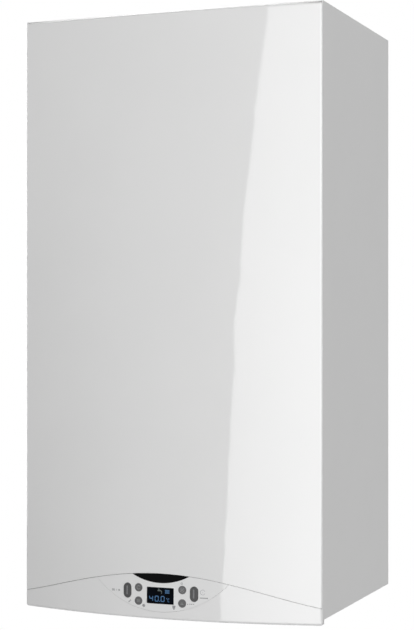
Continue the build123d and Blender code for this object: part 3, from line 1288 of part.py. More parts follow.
def air_intake_silencer():
    """The flat air box behind the mixer, open through slots on top."""
    left, right = FAN_X - SILENCER_LEFT, FAN_X + SILENCER_RIGHT
    front, back = MIXER_BACK_Y, MIXER_BACK_Y + SILENCER_DEPTH
    wall = SILENCER_WALL
    box = block(left, right, front, back, SILENCER_LOW, SILENCER_HIGH)
    box = fillet(box.edges().filter_by(Axis.Z), SILENCER_CORNER)
    box -= block(left + wall, right - wall, front + wall, back - wall, SILENCER_LOW + wall,
                 SILENCER_HIGH - wall)
    box -= rod_y(FAN_X, FAN_Z, front - 1, front + wall + 1, MIXER_BORE)
    pitch = (right - left) / (SILENCER_SLOTS + 1)
    slot_front, slot_back = front + SILENCER_SLOT_INSET, back - SILENCER_SLOT_INSET
    for k in range(SILENCER_SLOTS):
        x = left + (k + 1) * pitch - SILENCER_SLOT_WIDTH / 2
        box -= block(x, x + SILENCER_SLOT_WIDTH, slot_front, slot_back, SILENCER_HIGH - wall - 1,
                     SILENCER_HIGH + 1)
    return box


# ---------------------------------------------------------------- water side
def manifold_block(x_low, x_high):
    body = block(x_low, x_high, MANIFOLD_FRONT_Y, MANIFOLD_BACK_Y, MANIFOLD_LOW, MANIFOLD_HIGH)
    return fillet(body.edges().filter_by(Axis.X) + body.edges().filter_by(Axis.Z), MANIFOLD_ROUND)


def manifold_bores(side, pipe_x):
    """The bores in one manifold: heating and water tails from below, the exchanger's pipe from above."""
    low = MANIFOLD_LOW - 1
    y = CONNECTION_Y
    heating = rod_z(2 * side * CONNECTION_PITCH, y, low, MANIFOLD_LOW + PIPE_BORE_DEPTH, HEATING_BORE)
    water = rod_z(side * CONNECTION_PITCH, y, low, MANIFOLD_LOW + WATER_BORE_DEPTH, WATER_BORE)
    upper = rod_z(pipe_x, y, MANIFOLD_HIGH - PIPE_BORE_DEPTH, MANIFOLD_HIGH + 1, PIPE_RADIUS - PIPE_WALL)
    return heating + water + upper


def chamber_front_y():
    return MANIFOLD_FRONT_Y + VALVE_CHAMBER_WALL


def flow_manifold():
    """The left-hand water block with the diverter valve's chamber."""
    body = manifold_block(-MANIFOLD_OUTER_X, -MANIFOLD_INNER_X)
    front = chamber_front_y()
    back = front + VALVE_FRONT_GAP + SPINDLE_VALVE + SPINDLE_TRAVEL + VALVE_BACK_GAP
    body -= rod_y(DIVERTER_X, DIVERTER_Z, front, back, VALVE_CHAMBER_RADIUS)
    body -= rod_y(DIVERTER_X, DIVERTER_Z, MANIFOLD_FRONT_Y - 1, front + 1, SPINDLE_RADIUS + SPINDLE_GAP)
    return body - manifold_bores(-1, FLOW_PIPE_X)


def diverter_motor():
    """The diverter valve's motor on the front of the flow manifold."""
    front = MANIFOLD_FRONT_Y - DIVERTER_LENGTH
    motor = rod_y(DIVERTER_X, DIVERTER_Z, front, MANIFOLD_FRONT_Y, DIVERTER_RADIUS)
    motor = fillet(motor.edges().sort_by(Axis.Y)[0], DIVERTER_EDGE)
    room = SPINDLE_LENGTH + SPINDLE_ROOM
    return motor - rod_y(DIVERTER_X, DIVERTER_Z, MANIFOLD_FRONT_Y - room, MANIFOLD_FRONT_Y + 1,
                         SPINDLE_RADIUS + SPINDLE_GAP)


def diverter_spindle():
    """The sliding spindle with its valve disc; it moves towards the wall."""
    disc_front = chamber_front_y() + VALVE_FRONT_GAP
    front = disc_front - SPINDLE_LENGTH
    spindle = rod_y(DIVERTER_X, DIVERTER_Z, front, disc_front + SPINDLE_VALVE, SPINDLE_RADIUS)
    return spindle + rod_y(DIVERTER_X, DIVERTER_Z, disc_front, disc_front + SPINDLE_VALVE,
                           SPINDLE_VALVE_RADIUS)


def plate_exchanger():
    """The stack of brazed plates behind the two manifolds."""
    half = PLATE_EXCHANGER_LENGTH / 2
    low, high = PLATE_EXCHANGER_LOW, PLATE_EXCHANGER_LOW + PLATE_EXCHANGER_HEIGHT
    front = MANIFOLD_BACK_Y
    depth = (PLATE_COUNT - 1) * PLATE_PITCH + PLATE_SHEET

    def rounded(inset, y_low, y_high):
        face = Pos(0, (low + high) / 2) * RectangleRounded(
            2 * (half - inset), high - low - 2 * inset, PLATE_EDGE - inset)
        return Pos(0, y_high, 0) * extrude(Plane.XZ * face, amount=y_high - y_low)

    stack = rounded(PLATE_CORE_INSET, front, front + depth)
    for k in range(PLATE_COUNT):
        y = front + k * PLATE_PITCH
        stack += rounded(0, y, y + PLATE_SHEET)
    return stack


def return_manifold():
    """The right-hand water block with the pump's volute in front."""
    body = manifold_block(MANIFOLD_INNER_X, MANIFOLD_OUTER_X)
    volute_front = MANIFOLD_FRONT_Y - PUMP_DEPTH
    body += rod_y(PUMP_X, PUMP_Z, volute_front, MANIFOLD_FRONT_Y + 1, PUMP_RADIUS)
    body -= rod_y(PUMP_X, PUMP_Z, volute_front - 1, MANIFOLD_FRONT_Y - PUMP_WALL,
                  PUMP_IMPELLER_RADIUS + PUMP_VOLUTE_GAP)
    return body - manifold_bores(1, RETURN_PIPE_X)


def pump_motor():
    """The finned pump motor with its shaft into the volute."""
    back = MANIFOLD_FRONT_Y - PUMP_DEPTH
    front = back - PUMP_MOTOR_LENGTH
    motor = rod_y(PUMP_X, PUMP_Z, front, back, PUMP_MOTOR_RADIUS)
    motor = fillet(motor.edges().sort_by(Axis.Y)[0], PUMP_MOTOR_EDGE)
    groove_front, groove_back = front + PUMP_GROOVE_FRONT, back - PUMP_GROOVE_BACK
    for px, pz in around_y(PUMP_X, PUMP_Z, PUMP_MOTOR_RADIUS, PUMP_FINS):
        motor -= rod_y(px, pz, groove_front, groove_back, PUMP_GROOVE_RADIUS)
    shaft_end = MANIFOLD_FRONT_Y - PUMP_WALL - SHAFT_END_GAP
    return motor + rod_y(PUMP_X, PUMP_Z, back, shaft_end, PUMP_SHAFT_RADIUS)


def pump_impeller():
    """The pump's wheel on the motor shaft."""
    front = MANIFOLD_FRONT_Y - PUMP_DEPTH + PUMP_IMPELLER_CLEARANCE
    back = front + PUMP_IMPELLER_WIDTH
    wheel = rod_y(PUMP_X, PUMP_Z, front, front + PUMP_VANE, PUMP_IMPELLER_RADIUS)
    wheel += rod_y(PUMP_X, PUMP_Z, front, back, PUMP_SHAFT_RADIUS + PUMP_HUB)
    vane = block(PUMP_SHAFT_RADIUS + PUMP_HUB / 2, PUMP_IMPELLER_RADIUS - BLADE_TIP, front, back,
                 -PUMP_VANE / 2, PUMP_VANE / 2)
    for k in range(PUMP_VANES):
        wheel += Pos(PUMP_X, 0, PUMP_Z) * Rot(0, 360.0 * k / PUMP_VANES, 0) * vane
    return wheel - rod_y(PUMP_X, PUMP_Z, front - 1, back + 1, PUMP_SHAFT_RADIUS + FAN_SHAFT_GAP)


def water_pipe(foot_x, head_x):
    """A copper pipe from a manifold up to a port of the exchanger."""
    points = [(foot_x, CONNECTION_Y, MANIFOLD_HIGH), (foot_x, CONNECTION_Y, JOG_LOW),
              (head_x, FLUE_Y, JOG_HIGH), (head_x, FLUE_Y, PORT_BOTTOM)]
    return pipe(points, PIPE_CORNER, PIPE_RADIUS, PIPE_WALL)


def exchanger_pipes():
    """The flow pipe on the left and the return pipe on the right."""
    flow = water_pipe(FLOW_PIPE_X, EXCHANGER_X - PORT_OFFSET)
    return Compound(children=[flow, water_pipe(RETURN_PIPE_X, EXCHANGER_X + PORT_OFFSET)])


def rotor_pin():
    """A cross with a centre pin inside the cold-water tail, under the flow rotor."""
    x, y = CONNECTION_PITCH, CONNECTION_Y
    low = ROTOR_Z - ROTOR_STAND
    bar = block(x - WATER_BORE - 1, x + WATER_BORE + 1, y - ROTOR_BAR / 2, y + ROTOR_BAR / 2, low,
                low + ROTOR_BAR_HEIGHT)
    return bar + rod_z(x, y, low, ROTOR_Z + ROTOR_HEIGHT + 1, ROTOR_PIN_RADIUS)


def connection_tails():
    """Heating flow and return, hot water and cold water."""
    pitch = CONNECTION_PITCH
    top = MANIFOLD_LOW
    heating = [threaded_tail(side * 2 * pitch, HEATING_THREAD_RADIUS, HEATING_BORE, top) for side in (-1, 1)]
    water = [threaded_tail(side * pitch, WATER_THREAD_RADIUS, WATER_BORE, top) for side in (-1, 1)]
    water[1] = water[1] + rotor_pin()
    return Compound(children=heating + water)


def flow_rotor():
    """The flow sensor's small turbine in the cold-water tail."""
    x, y = CONNECTION_PITCH, CONNECTION_Y
    rotor = rod_z(x, y, ROTOR_Z, ROTOR_Z + ROTOR_HEIGHT, ROTOR_HUB)
    blade = block(0, ROTOR_RADIUS, -ROTOR_BLADE / 2, ROTOR_BLADE / 2, ROTOR_Z, ROTOR_Z + ROTOR_HEIGHT)
    for k in range(ROTOR_BLADES):
        rotor += Pos(x, y, 0) * Rot(0, 0, 360.0 * k / ROTOR_BLADES) * blade
    return rotor - rod_z(x, y, ROTOR_Z - 1, ROTOR_Z + ROTOR_HEIGHT + 1, ROTOR_PIN_RADIUS + ROTOR_GAP)


def safety_valve():
    """The safety valve on the front of the flow manifold, its stem towards the front."""
    front = MANIFOLD_FRONT_Y - SAFETY_LENGTH
    valve = rod_y(SAFETY_X, SAFETY_Z, front, MANIFOLD_FRONT_Y, SAFETY_RADIUS)
    valve += rod_y(SAFETY_X, SAFETY_Z, front - SAFETY_STEM, front, KNOB_STEM_RADIUS)
    middle = MANIFOLD_FRONT_Y - SAFETY_LENGTH / 2
    return valve + rod_z(SAFETY_X, middle, SAFETY_Z - SAFETY_OUTLET, SAFETY_Z, SAFETY_RADIUS / 2)


def fluted_knob(radius, stem_length):
    """A knob along Z: its open end is at z = 0, where the stem enters, and it grows upwards."""
    knob = rod_z(0, 0, 0, KNOB_LENGTH, radius)
    knob = fillet(knob.edges().sort_by(Axis.Z)[-1], KNOB_EDGE)
    for k in range(KNOB_FLUTES):
        angle = 2 * math.pi * k / KNOB_FLUTES
        knob -= rod_z(radius * math.cos(angle), radius * math.sin(angle), -1, KNOB_LENGTH + 1, FLUTE_RADIUS)
    return knob - rod_z(0, 0, -1, stem_length, KNOB_STEM_RADIUS + KNOB_BORE_GAP)


def safety_knob():
    seat = MANIFOLD_FRONT_Y - SAFETY_LENGTH - KNOB_GAP
    knob = fluted_knob(KNOB_RADIUS, SAFETY_STEM + KNOB_GAP)
    return Pos(SAFETY_X, seat, SAFETY_Z) * Rot(90, 0, 0) * knob


def filling_tap():
    """The filling tap under the return manifold, its stem pointing down."""
    tap = rod_z(FILLING_X, CONNECTION_Y, FILLING_LOW, MANIFOLD_LOW, FILLING_RADIUS)
    return tap + rod_z(FILLING_X, CONNECTION_Y, FILLING_LOW - FILLING_STEM, FILLING_LOW, KNOB_STEM_RADIUS)


def filling_knob():
    seat = FILLING_LOW - KNOB_GAP
    knob = fluted_knob(FILLING_KNOB_RADIUS, FILLING_STEM + KNOB_GAP)
    return Pos(FILLING_X, CONNECTION_Y, seat) * Rot(180, 0, 0) * knob


def air_vent():
    """The automatic air vent on the return manifold."""
    low = MANIFOLD_HIGH
    body_low, body_high = low + AIR_VENT_NECK, low + AIR_VENT_HEIGHT
    vent = rod_z(AIR_VENT_X, AIR_VENT_Y, low, body_low, AIR_VENT_RADIUS / 2)
    vent += rod_z(AIR_VENT_X, AIR_VENT_Y, body_low, body_high, AIR_VENT_RADIUS)
    return vent + rod_z(AIR_VENT_X, AIR_VENT_Y, body_high, body_high + AIR_VENT_CAP, AIR_VENT_CAP_RADIUS)


def condensate_trap():
    """The siphon bottle under the exchanger's drain."""
    x, y = EXCHANGER_X, FLUE_Y
    trap = rod_z(x, y, TRAP_LOW, TRAP_HIGH, TRAP_RADIUS)
    trap = fillet(trap.edges().filter_by(GeomType.CIRCLE), TRAP_EDGE)
    trap += rod_z(x, y, TRAP_HIGH, DRAIN_BOTTOM, DRAIN_RADIUS)
    stub = HOSE_RADIUS - HOSE_WALL - GROMMET_FIT
    trap += rod_z(HOSE_X, -HOSE_DISTANCE, TRAP_LOW - TRAP_STUB, TRAP_LOW + TRAP_EDGE, stub)
    trap -= rod_z(x, y, TRAP_LOW + TRAP_WALL, TRAP_HIGH - TRAP_WALL, TRAP_RADIUS - TRAP_WALL)
    trap -= rod_z(x, y, TRAP_HIGH - TRAP_WALL - 1, DRAIN_BOTTOM + 1, DRAIN_RADIUS - SOCKET_WALL)
    stub_low = TRAP_LOW - TRAP_STUB
    return trap - rod_z(HOSE_X, -HOSE_DISTANCE, stub_low - 1, TRAP_LOW + TRAP_WALL + 1, HOSE_RADIUS / 2)


def condensate_hose():
    """The straight drain tube from the trap down through the floor, with its plain end sleeve."""
    hose = rod_z(HOSE_X, -HOSE_DISTANCE, -TAIL_END, TRAP_LOW - SOCKET_GAP, HOSE_RADIUS)
    hose += rod_z(HOSE_X, -HOSE_DISTANCE, -TAIL_END, -TAIL_END + HOSE_END, HOSE_END_RADIUS)
    return hose - rod_z(HOSE_X, -HOSE_DISTANCE, -TAIL_END - 1, TRAP_LOW, HOSE_RADIUS - HOSE_WALL)


# ---------------------------------------------------------------- writing the pieces
PIECES = {
    "wall_bracket": wall_bracket,
    "back_frame": back_frame,
    "right_side_panel": side_panel,
    "left_side_panel": lambda: mirrored(side_panel()),
    "top_panel": top_panel,
    "chamber_floor": chamber_floor,
    "floor_grommets": floor_grommets,
    "front_seal": front_seal,
    "casing_screws": casing_screws,
    "front_cover": front_cover,
    "control_fascia": control_fascia,
    "control_island": control_island,
    "badge_insert": badge_insert,
    "display_window": display_window,
    "display_board": display_board,
    "heating_rocker": lambda: rocker_key(-ROCKER_X),
    "hot_water_rocker": lambda: rocker_key(ROCKER_X),
    "tray_housing": tray_housing,
    "tray_lid": tray_lid,
    "tray_hinges": tray_hinges,
    "main_board": main_board,
    "flue_collar": flue_collar,
    "flue_duct": flue_duct,
    "exchanger_shell": exchanger_shell,
    "exchanger_coil": exchanger_coil,
    "burner_door": burner_door,
    "door_nuts": door_nuts,
    "burner_tube": burner_tube,
    "ignition_electrode": ignition_electrode,
    "expansion_vessel": expansion_vessel,
    "vessel_pipe": vessel_pipe,
    "fan_housing": fan_housing,
    "fan_motor": fan_motor,
    "fan_impeller": fan_impeller,
    "mixture_duct": mixture_duct,
    "air_gas_mixer": air_gas_mixer,
    "gas_valve": gas_valve,
    "gas_inlet_pipe": gas_inlet_pipe,
    "air_intake_silencer": air_intake_silencer,
    "flow_manifold": flow_manifold,
    "diverter_motor": diverter_motor,
    "diverter_spindle": diverter_spindle,
    "plate_exchanger": plate_exchanger,
    "return_manifold": return_manifold,
    "pump_motor": pump_motor,
    "pump_impeller": pump_impeller,
    "exchanger_pipes": exchanger_pipes,
    "connection_tails": connection_tails,
    "flow_rotor": flow_rotor,
    "safety_valve": safety_valve,
    "safety_knob": safety_knob,
    "filling_tap": filling_tap,
    "filling_knob": filling_knob,
    "air_vent": air_vent,
    "condensate_trap": condensate_trap,
    "condensate_hose": condensate_hose,
}


def save(name, shape):
    """Write one piece, lowered so that the bracket's screw line is the origin's height."""
    export_step(Pos(0, 0, -BRACKET_HEIGHT) * shape, os.path.join("parts", name + ".step"))


os.makedirs("parts", exist_ok=True)
for piece_name, make_piece in PIECES.items():
    save(piece_name, make_piece())
for button_name, (button_x, button_z) in button_places().items():
    save(button_name, push_button(button_x, button_z))
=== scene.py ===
"""Wall-hung combi boiler: finishes, printed marks, display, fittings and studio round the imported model.

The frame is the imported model's, in metres: +X to the viewer's right, +Y into the wall, +Z up. Its origin is
on the wall bracket's screw line. The drawing helpers and the sizes of marks and fittings are in millimetres,
and a height is measured there from the side panels' lower edge, BRACKET_DROP below the origin.
"""

import json
import math

import bpy
from bpy.props import FloatProperty, FloatVectorProperty, IntProperty, PointerProperty
from mathutils import Matrix, Vector


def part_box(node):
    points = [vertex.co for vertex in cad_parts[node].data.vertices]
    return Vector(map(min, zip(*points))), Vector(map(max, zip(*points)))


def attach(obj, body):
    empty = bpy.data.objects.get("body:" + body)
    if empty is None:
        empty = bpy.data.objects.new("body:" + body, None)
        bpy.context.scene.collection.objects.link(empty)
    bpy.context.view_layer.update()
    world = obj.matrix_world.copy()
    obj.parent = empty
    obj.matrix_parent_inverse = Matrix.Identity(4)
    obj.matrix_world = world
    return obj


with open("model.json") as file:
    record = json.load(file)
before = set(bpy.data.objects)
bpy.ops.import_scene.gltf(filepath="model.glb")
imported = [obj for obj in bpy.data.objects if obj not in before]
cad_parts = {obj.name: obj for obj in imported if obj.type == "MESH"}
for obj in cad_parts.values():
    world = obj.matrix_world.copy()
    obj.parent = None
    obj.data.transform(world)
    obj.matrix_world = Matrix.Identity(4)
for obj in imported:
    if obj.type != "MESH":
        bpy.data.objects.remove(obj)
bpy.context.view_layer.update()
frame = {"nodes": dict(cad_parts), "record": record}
NODES = frame["nodes"]

bl_info = {
    "name": "Combi Boiler",
    "version": (1, 0, 0),
    "blender": (4, 5, 0),
    "location": "3D Viewport > Sidebar > Boiler",
    "description": "Finishes, marks and studio for a wall-hung combi boiler",
    "category": "Object",
}

MM = 0.001
BRACKET_DROP = 0.690            # from the frame's origin down to the side panels' lower edge


# ------------------------------------------------------------------ settings
def colour_setting(name, description, default):
    """A colour that the sidebar shows with a picker."""
    return FloatVectorProperty(
        name=name, description=description, subtype="COLOR", default=default, min=0, max=1)


class FinishSettings(bpy.types.PropertyGroup):
    enamel: colour_setting("Enamel", "Colour of the white casing", (0.87, 0.87, 0.868))
    moulding: colour_setting("Moulding", "Colour of the white control fascia", (0.87, 0.87, 0.87))
    key: colour_setting("Keys", "Colour of the grey keys", (0.115, 0.115, 0.117))
    gloss: FloatProperty(
        name="Casing roughness", description="Roughness of the enamel and the moulding",
        default=0.035, min=0, max=1, subtype="FACTOR")
    peel: FloatProperty(
        name="Orange peel", description="Height of the enamel's slow waviness",
        default=0.000004, min=0, unit="LENGTH")


class PrintSettings(bpy.types.PropertyGroup):
    ink: colour_setting("Ink", "Colour of the marks printed on the fascia", (0.30, 0.30, 0.31))
    key_ink: colour_setting("Key ink", "Colour of the marks printed on the keys", (0.30, 0.30, 0.31))
    lit: colour_setting("Lit segments", "Colour of the display's lit segments", (0.08, 0.24, 0.50))
    film: FloatProperty(
        name="Film", description="Thickness of a printed mark", default=0.00005, min=0.00001, unit="LENGTH")
    digit_height: FloatProperty(
        name="Digit height", description="Height of the display's digits", default=0.0072, min=0.002,
        unit="LENGTH")


class HardwareSettings(bpy.types.PropertyGroup):
    thread_pitch: FloatProperty(
        name="Thread pitch", description="Pitch of the parallel pipe threads", default=0.001814, min=0.0005,
        unit="LENGTH")
    thread_depth: FloatProperty(
        name="Thread crest", description="How far the thread's crest stands out of the tail",
        default=0.00035, min=0.00005, unit="LENGTH")
    thread_turns: IntProperty(
        name="Thread turns", description="Turns of thread on each connection", default=7, min=1)


class StageSettings(bpy.types.PropertyGroup):
    paper: colour_setting("Paper", "Colour of the floor", (0.62, 0.62, 0.62))
    floor_drop: FloatProperty(
        name="Floor", description="Floor's distance below the frame's origin", default=3.4, min=0.8,
        unit="LENGTH")
    floor_lift: FloatProperty(
        name="Floor lift", description="White added to the floor where it is seen directly", default=0.93,
        min=0)
    ambient: FloatProperty(
        name="Ambient", description="Strength of the even light from all round", default=0.05, min=0)
    key_power: FloatProperty(
        name="Key light", description="Power of the large softbox before the boiler", default=112, min=0,
        unit="POWER")
    fill_power: FloatProperty(
        name="Fill light", description="Power of each softbox behind the boiler", default=48, min=0,
        unit="POWER")
    lens: FloatProperty(
        name="Lens", description="Focal length for a 36 mm long side", default=93.139, min=10,
        subtype="DISTANCE_CAMERA")


# ------------------------------------------------------------------ small helpers
def up(height):
    """Frame height of a point given in millimetres above the side panels' lower edge."""
    return height * MM - BRACKET_DROP


def only(piece):
    """Make one object the only selected and active one."""
    bpy.ops.object.select_all(action="DESELECT")
    piece.select_set(True)
    bpy.context.view_layer.objects.active = piece


def settle(piece):
    """Put a finished piece's place into its mesh, so that its object sits at the origin."""
    only(piece)
    bpy.ops.object.transform_apply(location=True, rotation=True, scale=True)
    return piece


def added(name):
    """The primitive that was just added, under its own name."""
    piece = bpy.context.view_layer.objects.active
    piece.name = name
    piece.data.name = name
    return piece


def united(name, parts):
    """Several objects as one mesh."""
    bpy.ops.object.select_all(action="DESELECT")
    for part in parts:
        part.select_set(True)
    bpy.context.view_layer.objects.active = parts[0]
    if len(parts) > 1:
        bpy.ops.object.join()
    piece = added(name)
    return settle(piece)


def recalculate(piece):
    """Merge doubled vertices and turn every face outwards."""
    only(piece)
    bpy.ops.object.mode_set(mode="EDIT")
    bpy.ops.mesh.select_all(action="SELECT")
    bpy.ops.mesh.remove_doubles(threshold=1e-6)
    bpy.ops.mesh.normals_make_consistent(inside=False)
    bpy.ops.object.mode_set(mode="OBJECT")


def apply_modifiers(piece):
    """Apply every modifier in order."""
    only(piece)
    for modifier in list(piece.modifiers):
        bpy.ops.object.modifier_apply(modifier=modifier.name)


def finish_piece(piece, body, finish):
    """Finish, slot and body of a new piece."""
    piece.data.materials.clear()
    piece.data.materials.append(finish)
    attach(piece, body)


# ------------------------------------------------------------------ finishes
MIX_SHARE, MIX_A, MIX_B, MIX_RESULT = 0, 6, 7, 2        # a Mix node's sockets for colours


class Finish:
    """A node material under construction: one Principled shader fed by patterns on Object coordinates."""

    def __init__(self, name, colour, roughness, metallic=0.0):
        self.material = bpy.data.materials.new(name)
        self.material.use_nodes = True
        self.tree = self.material.node_tree
        self.shader = self.tree.nodes["Principled BSDF"]
        self.shader.inputs["Base Color"].default_value = (*colour, 1)
        self.shader.inputs["Roughness"].default_value = roughness
        self.shader.inputs["Metallic"].default_value = metallic
        self.place = self.node("ShaderNodeTexCoord").outputs["Object"]
        self.normal = None

    def node(self, kind, **values):
        made = self.tree.nodes.new(kind)
        for name, value in values.items():
            setattr(made, name, value)
        return made

    def link(self, output, socket):
        self.tree.links.new(output, socket)

    def feed(self, socket, value):
        """Give a socket another node's output, or a constant."""
        if isinstance(value, bpy.types.NodeSocket):
            self.link(value, socket)
        elif socket.type == "RGBA":
            socket.default_value = (*value, 1)
        else:
            socket.default_value = value

    def output(self, name, kind, inputs, **values):
        """One output of a new node, with its inputs by name."""
        made = self.node(kind, **values)
        for socket, value in inputs.items():
            self.feed(made.inputs[socket], value)
        return made.outputs[name]

    def stretched(self, scale):
        """Object coordinates with a scale of their own on each axis."""
        return self.output("Vector", "ShaderNodeMapping", {"Vector": self.place, "Scale": scale})

    def axis(self, name):
        """One of the Object coordinates, X, Y or Z."""
        return self.output(name, "ShaderNodeSeparateXYZ", {"Vector": self.place})

    def noise(self, scale, detail=3.0, vector=None, distortion=0.0):
        return self.output("Fac", "ShaderNodeTexNoise", {
            "Vector": vector or self.place, "Scale": scale, "Detail": detail, "Distortion": distortion})

    def cells(self, scale, output="Distance"):
        return self.output(output, "ShaderNodeTexVoronoi", {"Vector": self.place, "Scale": scale})

    def waves(self, scale, direction):
        return self.output("Fac", "ShaderNodeTexWave", {"Vector": self.place, "Scale": scale},
                           bands_direction=direction)

    def maths(self, operation, a, b):
        made = self.node("ShaderNodeMath", operation=operation)
        self.feed(made.inputs[0], a)
        self.feed(made.inputs[1], b)
        return made.outputs[0]

    def ranged(self, value, low, high, start=0.0, end=1.0):
        """A value brought from start..end to low..high."""
        return self.output("Result", "ShaderNodeMapRange", {
            "Value": value, "From Min": start, "From Max": end, "To Min": low, "To Max": high})

    def ramp(self, value, *stops):
        """Colours along a value; each stop is a position and a colour."""
        made = self.node("ShaderNodeValToRGB")
        elements = made.color_ramp.elements
        while len(elements) < len(stops):
            elements.new(0.5)
        for element, (position, colour) in zip(elements, stops):
            element.position = position
            element.color = (*colour, 1)
        self.link(value, made.inputs["Fac"])
        return made.outputs["Color"]

    def mix(self, share, a, b):
        made = self.node("ShaderNodeMix", data_type="RGBA")
        for place, value in ((MIX_SHARE, share), (MIX_A, a), (MIX_B, b)):
            self.feed(made.inputs[place], value)
        return made.outputs[MIX_RESULT]

    def colour(self, output):
        self.link(output, self.shader.inputs["Base Color"])

    def roughness(self, output):
        self.link(output, self.shader.inputs["Roughness"])

    def bump(self, height, depth):
        """Relief of a real depth in metres; later calls lie on earlier ones."""
        made = self.node("ShaderNodeBump")
        made.inputs["Distance"].default_value = depth
        self.link(height, made.inputs["Height"])
        if self.normal:
            self.link(self.normal, made.inputs["Normal"])
        self.normal = made.outputs["Normal"]
        self.link(self.normal, self.shader.inputs["Normal"])

    def fixed(self, **values):
        """Values that are the same all over, set on the shader's own sockets."""
        for name, value in values.items():
            self.shader.inputs[name.replace("_", " ")].default_value = value
        return self


def shade(colour, factor):
    """A colour made lighter or darker, and no lighter than white."""
    return tuple(min(1.0, channel * factor) for channel in colour)


def gloss_paint(name, colour, roughness, peel, fleck=0.012):
    """Baked enamel or gloss moulding: faint mottle, slow waviness and varying gloss."""
    f = Finish(name, colour, roughness)
    f.colour(f.ramp(f.noise(9, 4), (0.3, shade(colour, 1 - fleck)), (0.7, shade(colour, 1 + fleck / 2))))
    f.roughness(f.ranged(f.noise(60, 3), roughness * 0.8, roughness * 1.25))
    f.bump(f.noise(420, 2), peel)
    f.bump(f.noise(2600, 1), peel / 8)
    return f.fixed(IOR=1.72)


def moulded(name, colour, roughness, grain, scale, mottle):
    """Matt moulded plastic with a fine spark-eroded grain."""
    f = Finish(name, colour, roughness)
    f.colour(f.ramp(f.noise(45, 5), (0.3, shade(colour, 1 - mottle)), (0.7, shade(colour, 1 + mottle))))
    f.roughness(f.ranged(f.noise(110, 3), roughness * 0.85, min(1.0, roughness * 1.15)))
    f.bump(f.noise(scale, 2), grain)
    return f


def zinc_sheet():
    """Galvanised sheet: spangle of large bright and dull crystals under fine rolling lines."""
    base = (0.56, 0.57, 0.58)
    f = Finish("zinc_sheet", base, 0.38, 0.9)
    spangle = f.cells(110, "Color")
    grey = f.output("Val", "ShaderNodeRGBToBW", {"Color": spangle})
    f.colour(f.ramp(grey, (0.1, shade(base, 0.86)), (0.5, base), (0.9, shade(base, 1.12))))
    f.roughness(f.ranged(grey, 0.30, 0.48))
    f.bump(f.cells(110, "Distance"), 0.00002)
    f.bump(f.noise(1, 3, f.stretched((40, 40, 1800))), 0.000006)
    return f


def drawn_metal(name, colour, roughness, dull):
    """Drawn or brushed metal: fine lines one way and a slow oxide mottle."""
    f = Finish(name, colour, roughness, 1.0)
    lines = f.noise(1, 4, f.stretched((40, 40, 900)))
    mottle = f.noise(26, 5, distortion=0.6)
    f.colour(f.mix(f.ranged(mottle, 0, 0.55, 0.45, 0.75), colour, dull))
    f.roughness(f.ranged(lines, roughness * 0.75, roughness * 1.35))
    f.bump(lines, 0.00001)
    return f


def turned_brass():
    """Turned brass: fine lathe rings and warm tarnish."""
    colour = (0.70, 0.50, 0.22)
    f = Finish("turned_brass", colour, 0.28, 1.0)
    mottle = f.noise(34, 5, distortion=0.4)
    f.colour(f.mix(f.ranged(mottle, 0, 0.5, 0.4, 0.75), colour, (0.46, 0.31, 0.13)))
    rings = f.noise(1, 2, f.stretched((30, 30, 2600)))
    f.roughness(f.ranged(rings, 0.2, 0.38))
    f.bump(rings, 0.000012)
    return f


def cast_metal():
    """Sand-blasted die-cast aluminium."""
    colour = (0.60, 0.61, 0.62)
    f = Finish("cast_aluminium", colour, 0.48, 1.0)
    f.colour(f.ramp(f.noise(24, 5), (0.3, shade(colour, 0.82)), (0.7, shade(colour, 1.08))))
    f.roughness(f.ranged(f.noise(300, 3), 0.42, 0.6))
    f.bump(f.cells(1400, "Distance"), 0.00004)
    f.bump(f.noise(90, 3), 0.00006)
    return f


def circuit_board(name, top_height, zones):
    """Green solder mask with traces and pads below top_height; moulded parts stand above it by zone."""
    f = Finish(name, (0.02, 0.16, 0.07), 0.42)
    bricks = f.node("ShaderNodeTexBrick", offset=0.37, squash=0.6)
    for socket, value in (
            ("Vector", f.place), ("Scale", 62.0), ("Mortar Size", 0.018), ("Brick Width", 0.9),
            ("Row Height", 0.22), ("Color1", (0.018, 0.15, 0.065)), ("Color2", (0.022, 0.18, 0.08)),
            ("Mortar", (0.04, 0.30, 0.13))):
        f.feed(bricks.inputs[socket], value)
    pads = f.maths("LESS_THAN", f.cells(190), 0.22)
    board = f.mix(pads, bricks.outputs["Color"], (0.55, 0.55, 0.52))
    parts = (0.02, 0.02, 0.022)
    for axis, limit, above, colour in zones:
        side = f.maths("GREATER_THAN" if above else "LESS_THAN", f.axis(axis), limit)
        parts = f.mix(side, parts, colour)
    standing = f.maths("GREATER_THAN", f.axis("Z"), top_height)
    f.colour(f.mix(standing, board, parts))
    f.bump(bricks.outputs["Fac"], 0.00003)
    f.bump(f.noise(900, 2), 0.00001)
    return f


def foam():
    """Closed-cell foam with open pores at its surface."""
    f = Finish("closed_cell_foam", (0.045, 0.045, 0.047), 0.9)
    pores = f.cells(900)
    f.colour(f.ramp(pores, (0.0, (0.02, 0.02, 0.021)), (0.6, (0.07, 0.07, 0.072))))
    f.bump(pores, 0.0001)
    return f


def rubber():
    """Moulded black rubber, a little uneven."""
    f = moulded("black_rubber", (0.035, 0.035, 0.036), 0.62, 0.00002, 1200, 0.25)
    f.bump(f.noise(60, 4), 0.00004)
    return f


def smoked_window():
    """Smoked clear plastic over a dark display, with a bluish glow below the surface."""
    dark = (0.0015, 0.0018, 0.0028)
    f = Finish("smoked_window", dark, 0.06)
    f.colour(f.ramp(f.noise(85, 2), (0.35, dark), (0.75, (0.0015, 0.004, 0.010))))
    f.roughness(f.ranged(f.noise(500, 2), 0.05, 0.09))
    f.bump(f.noise(160, 1), 0.000002)
    return f.fixed(IOR=1.1)


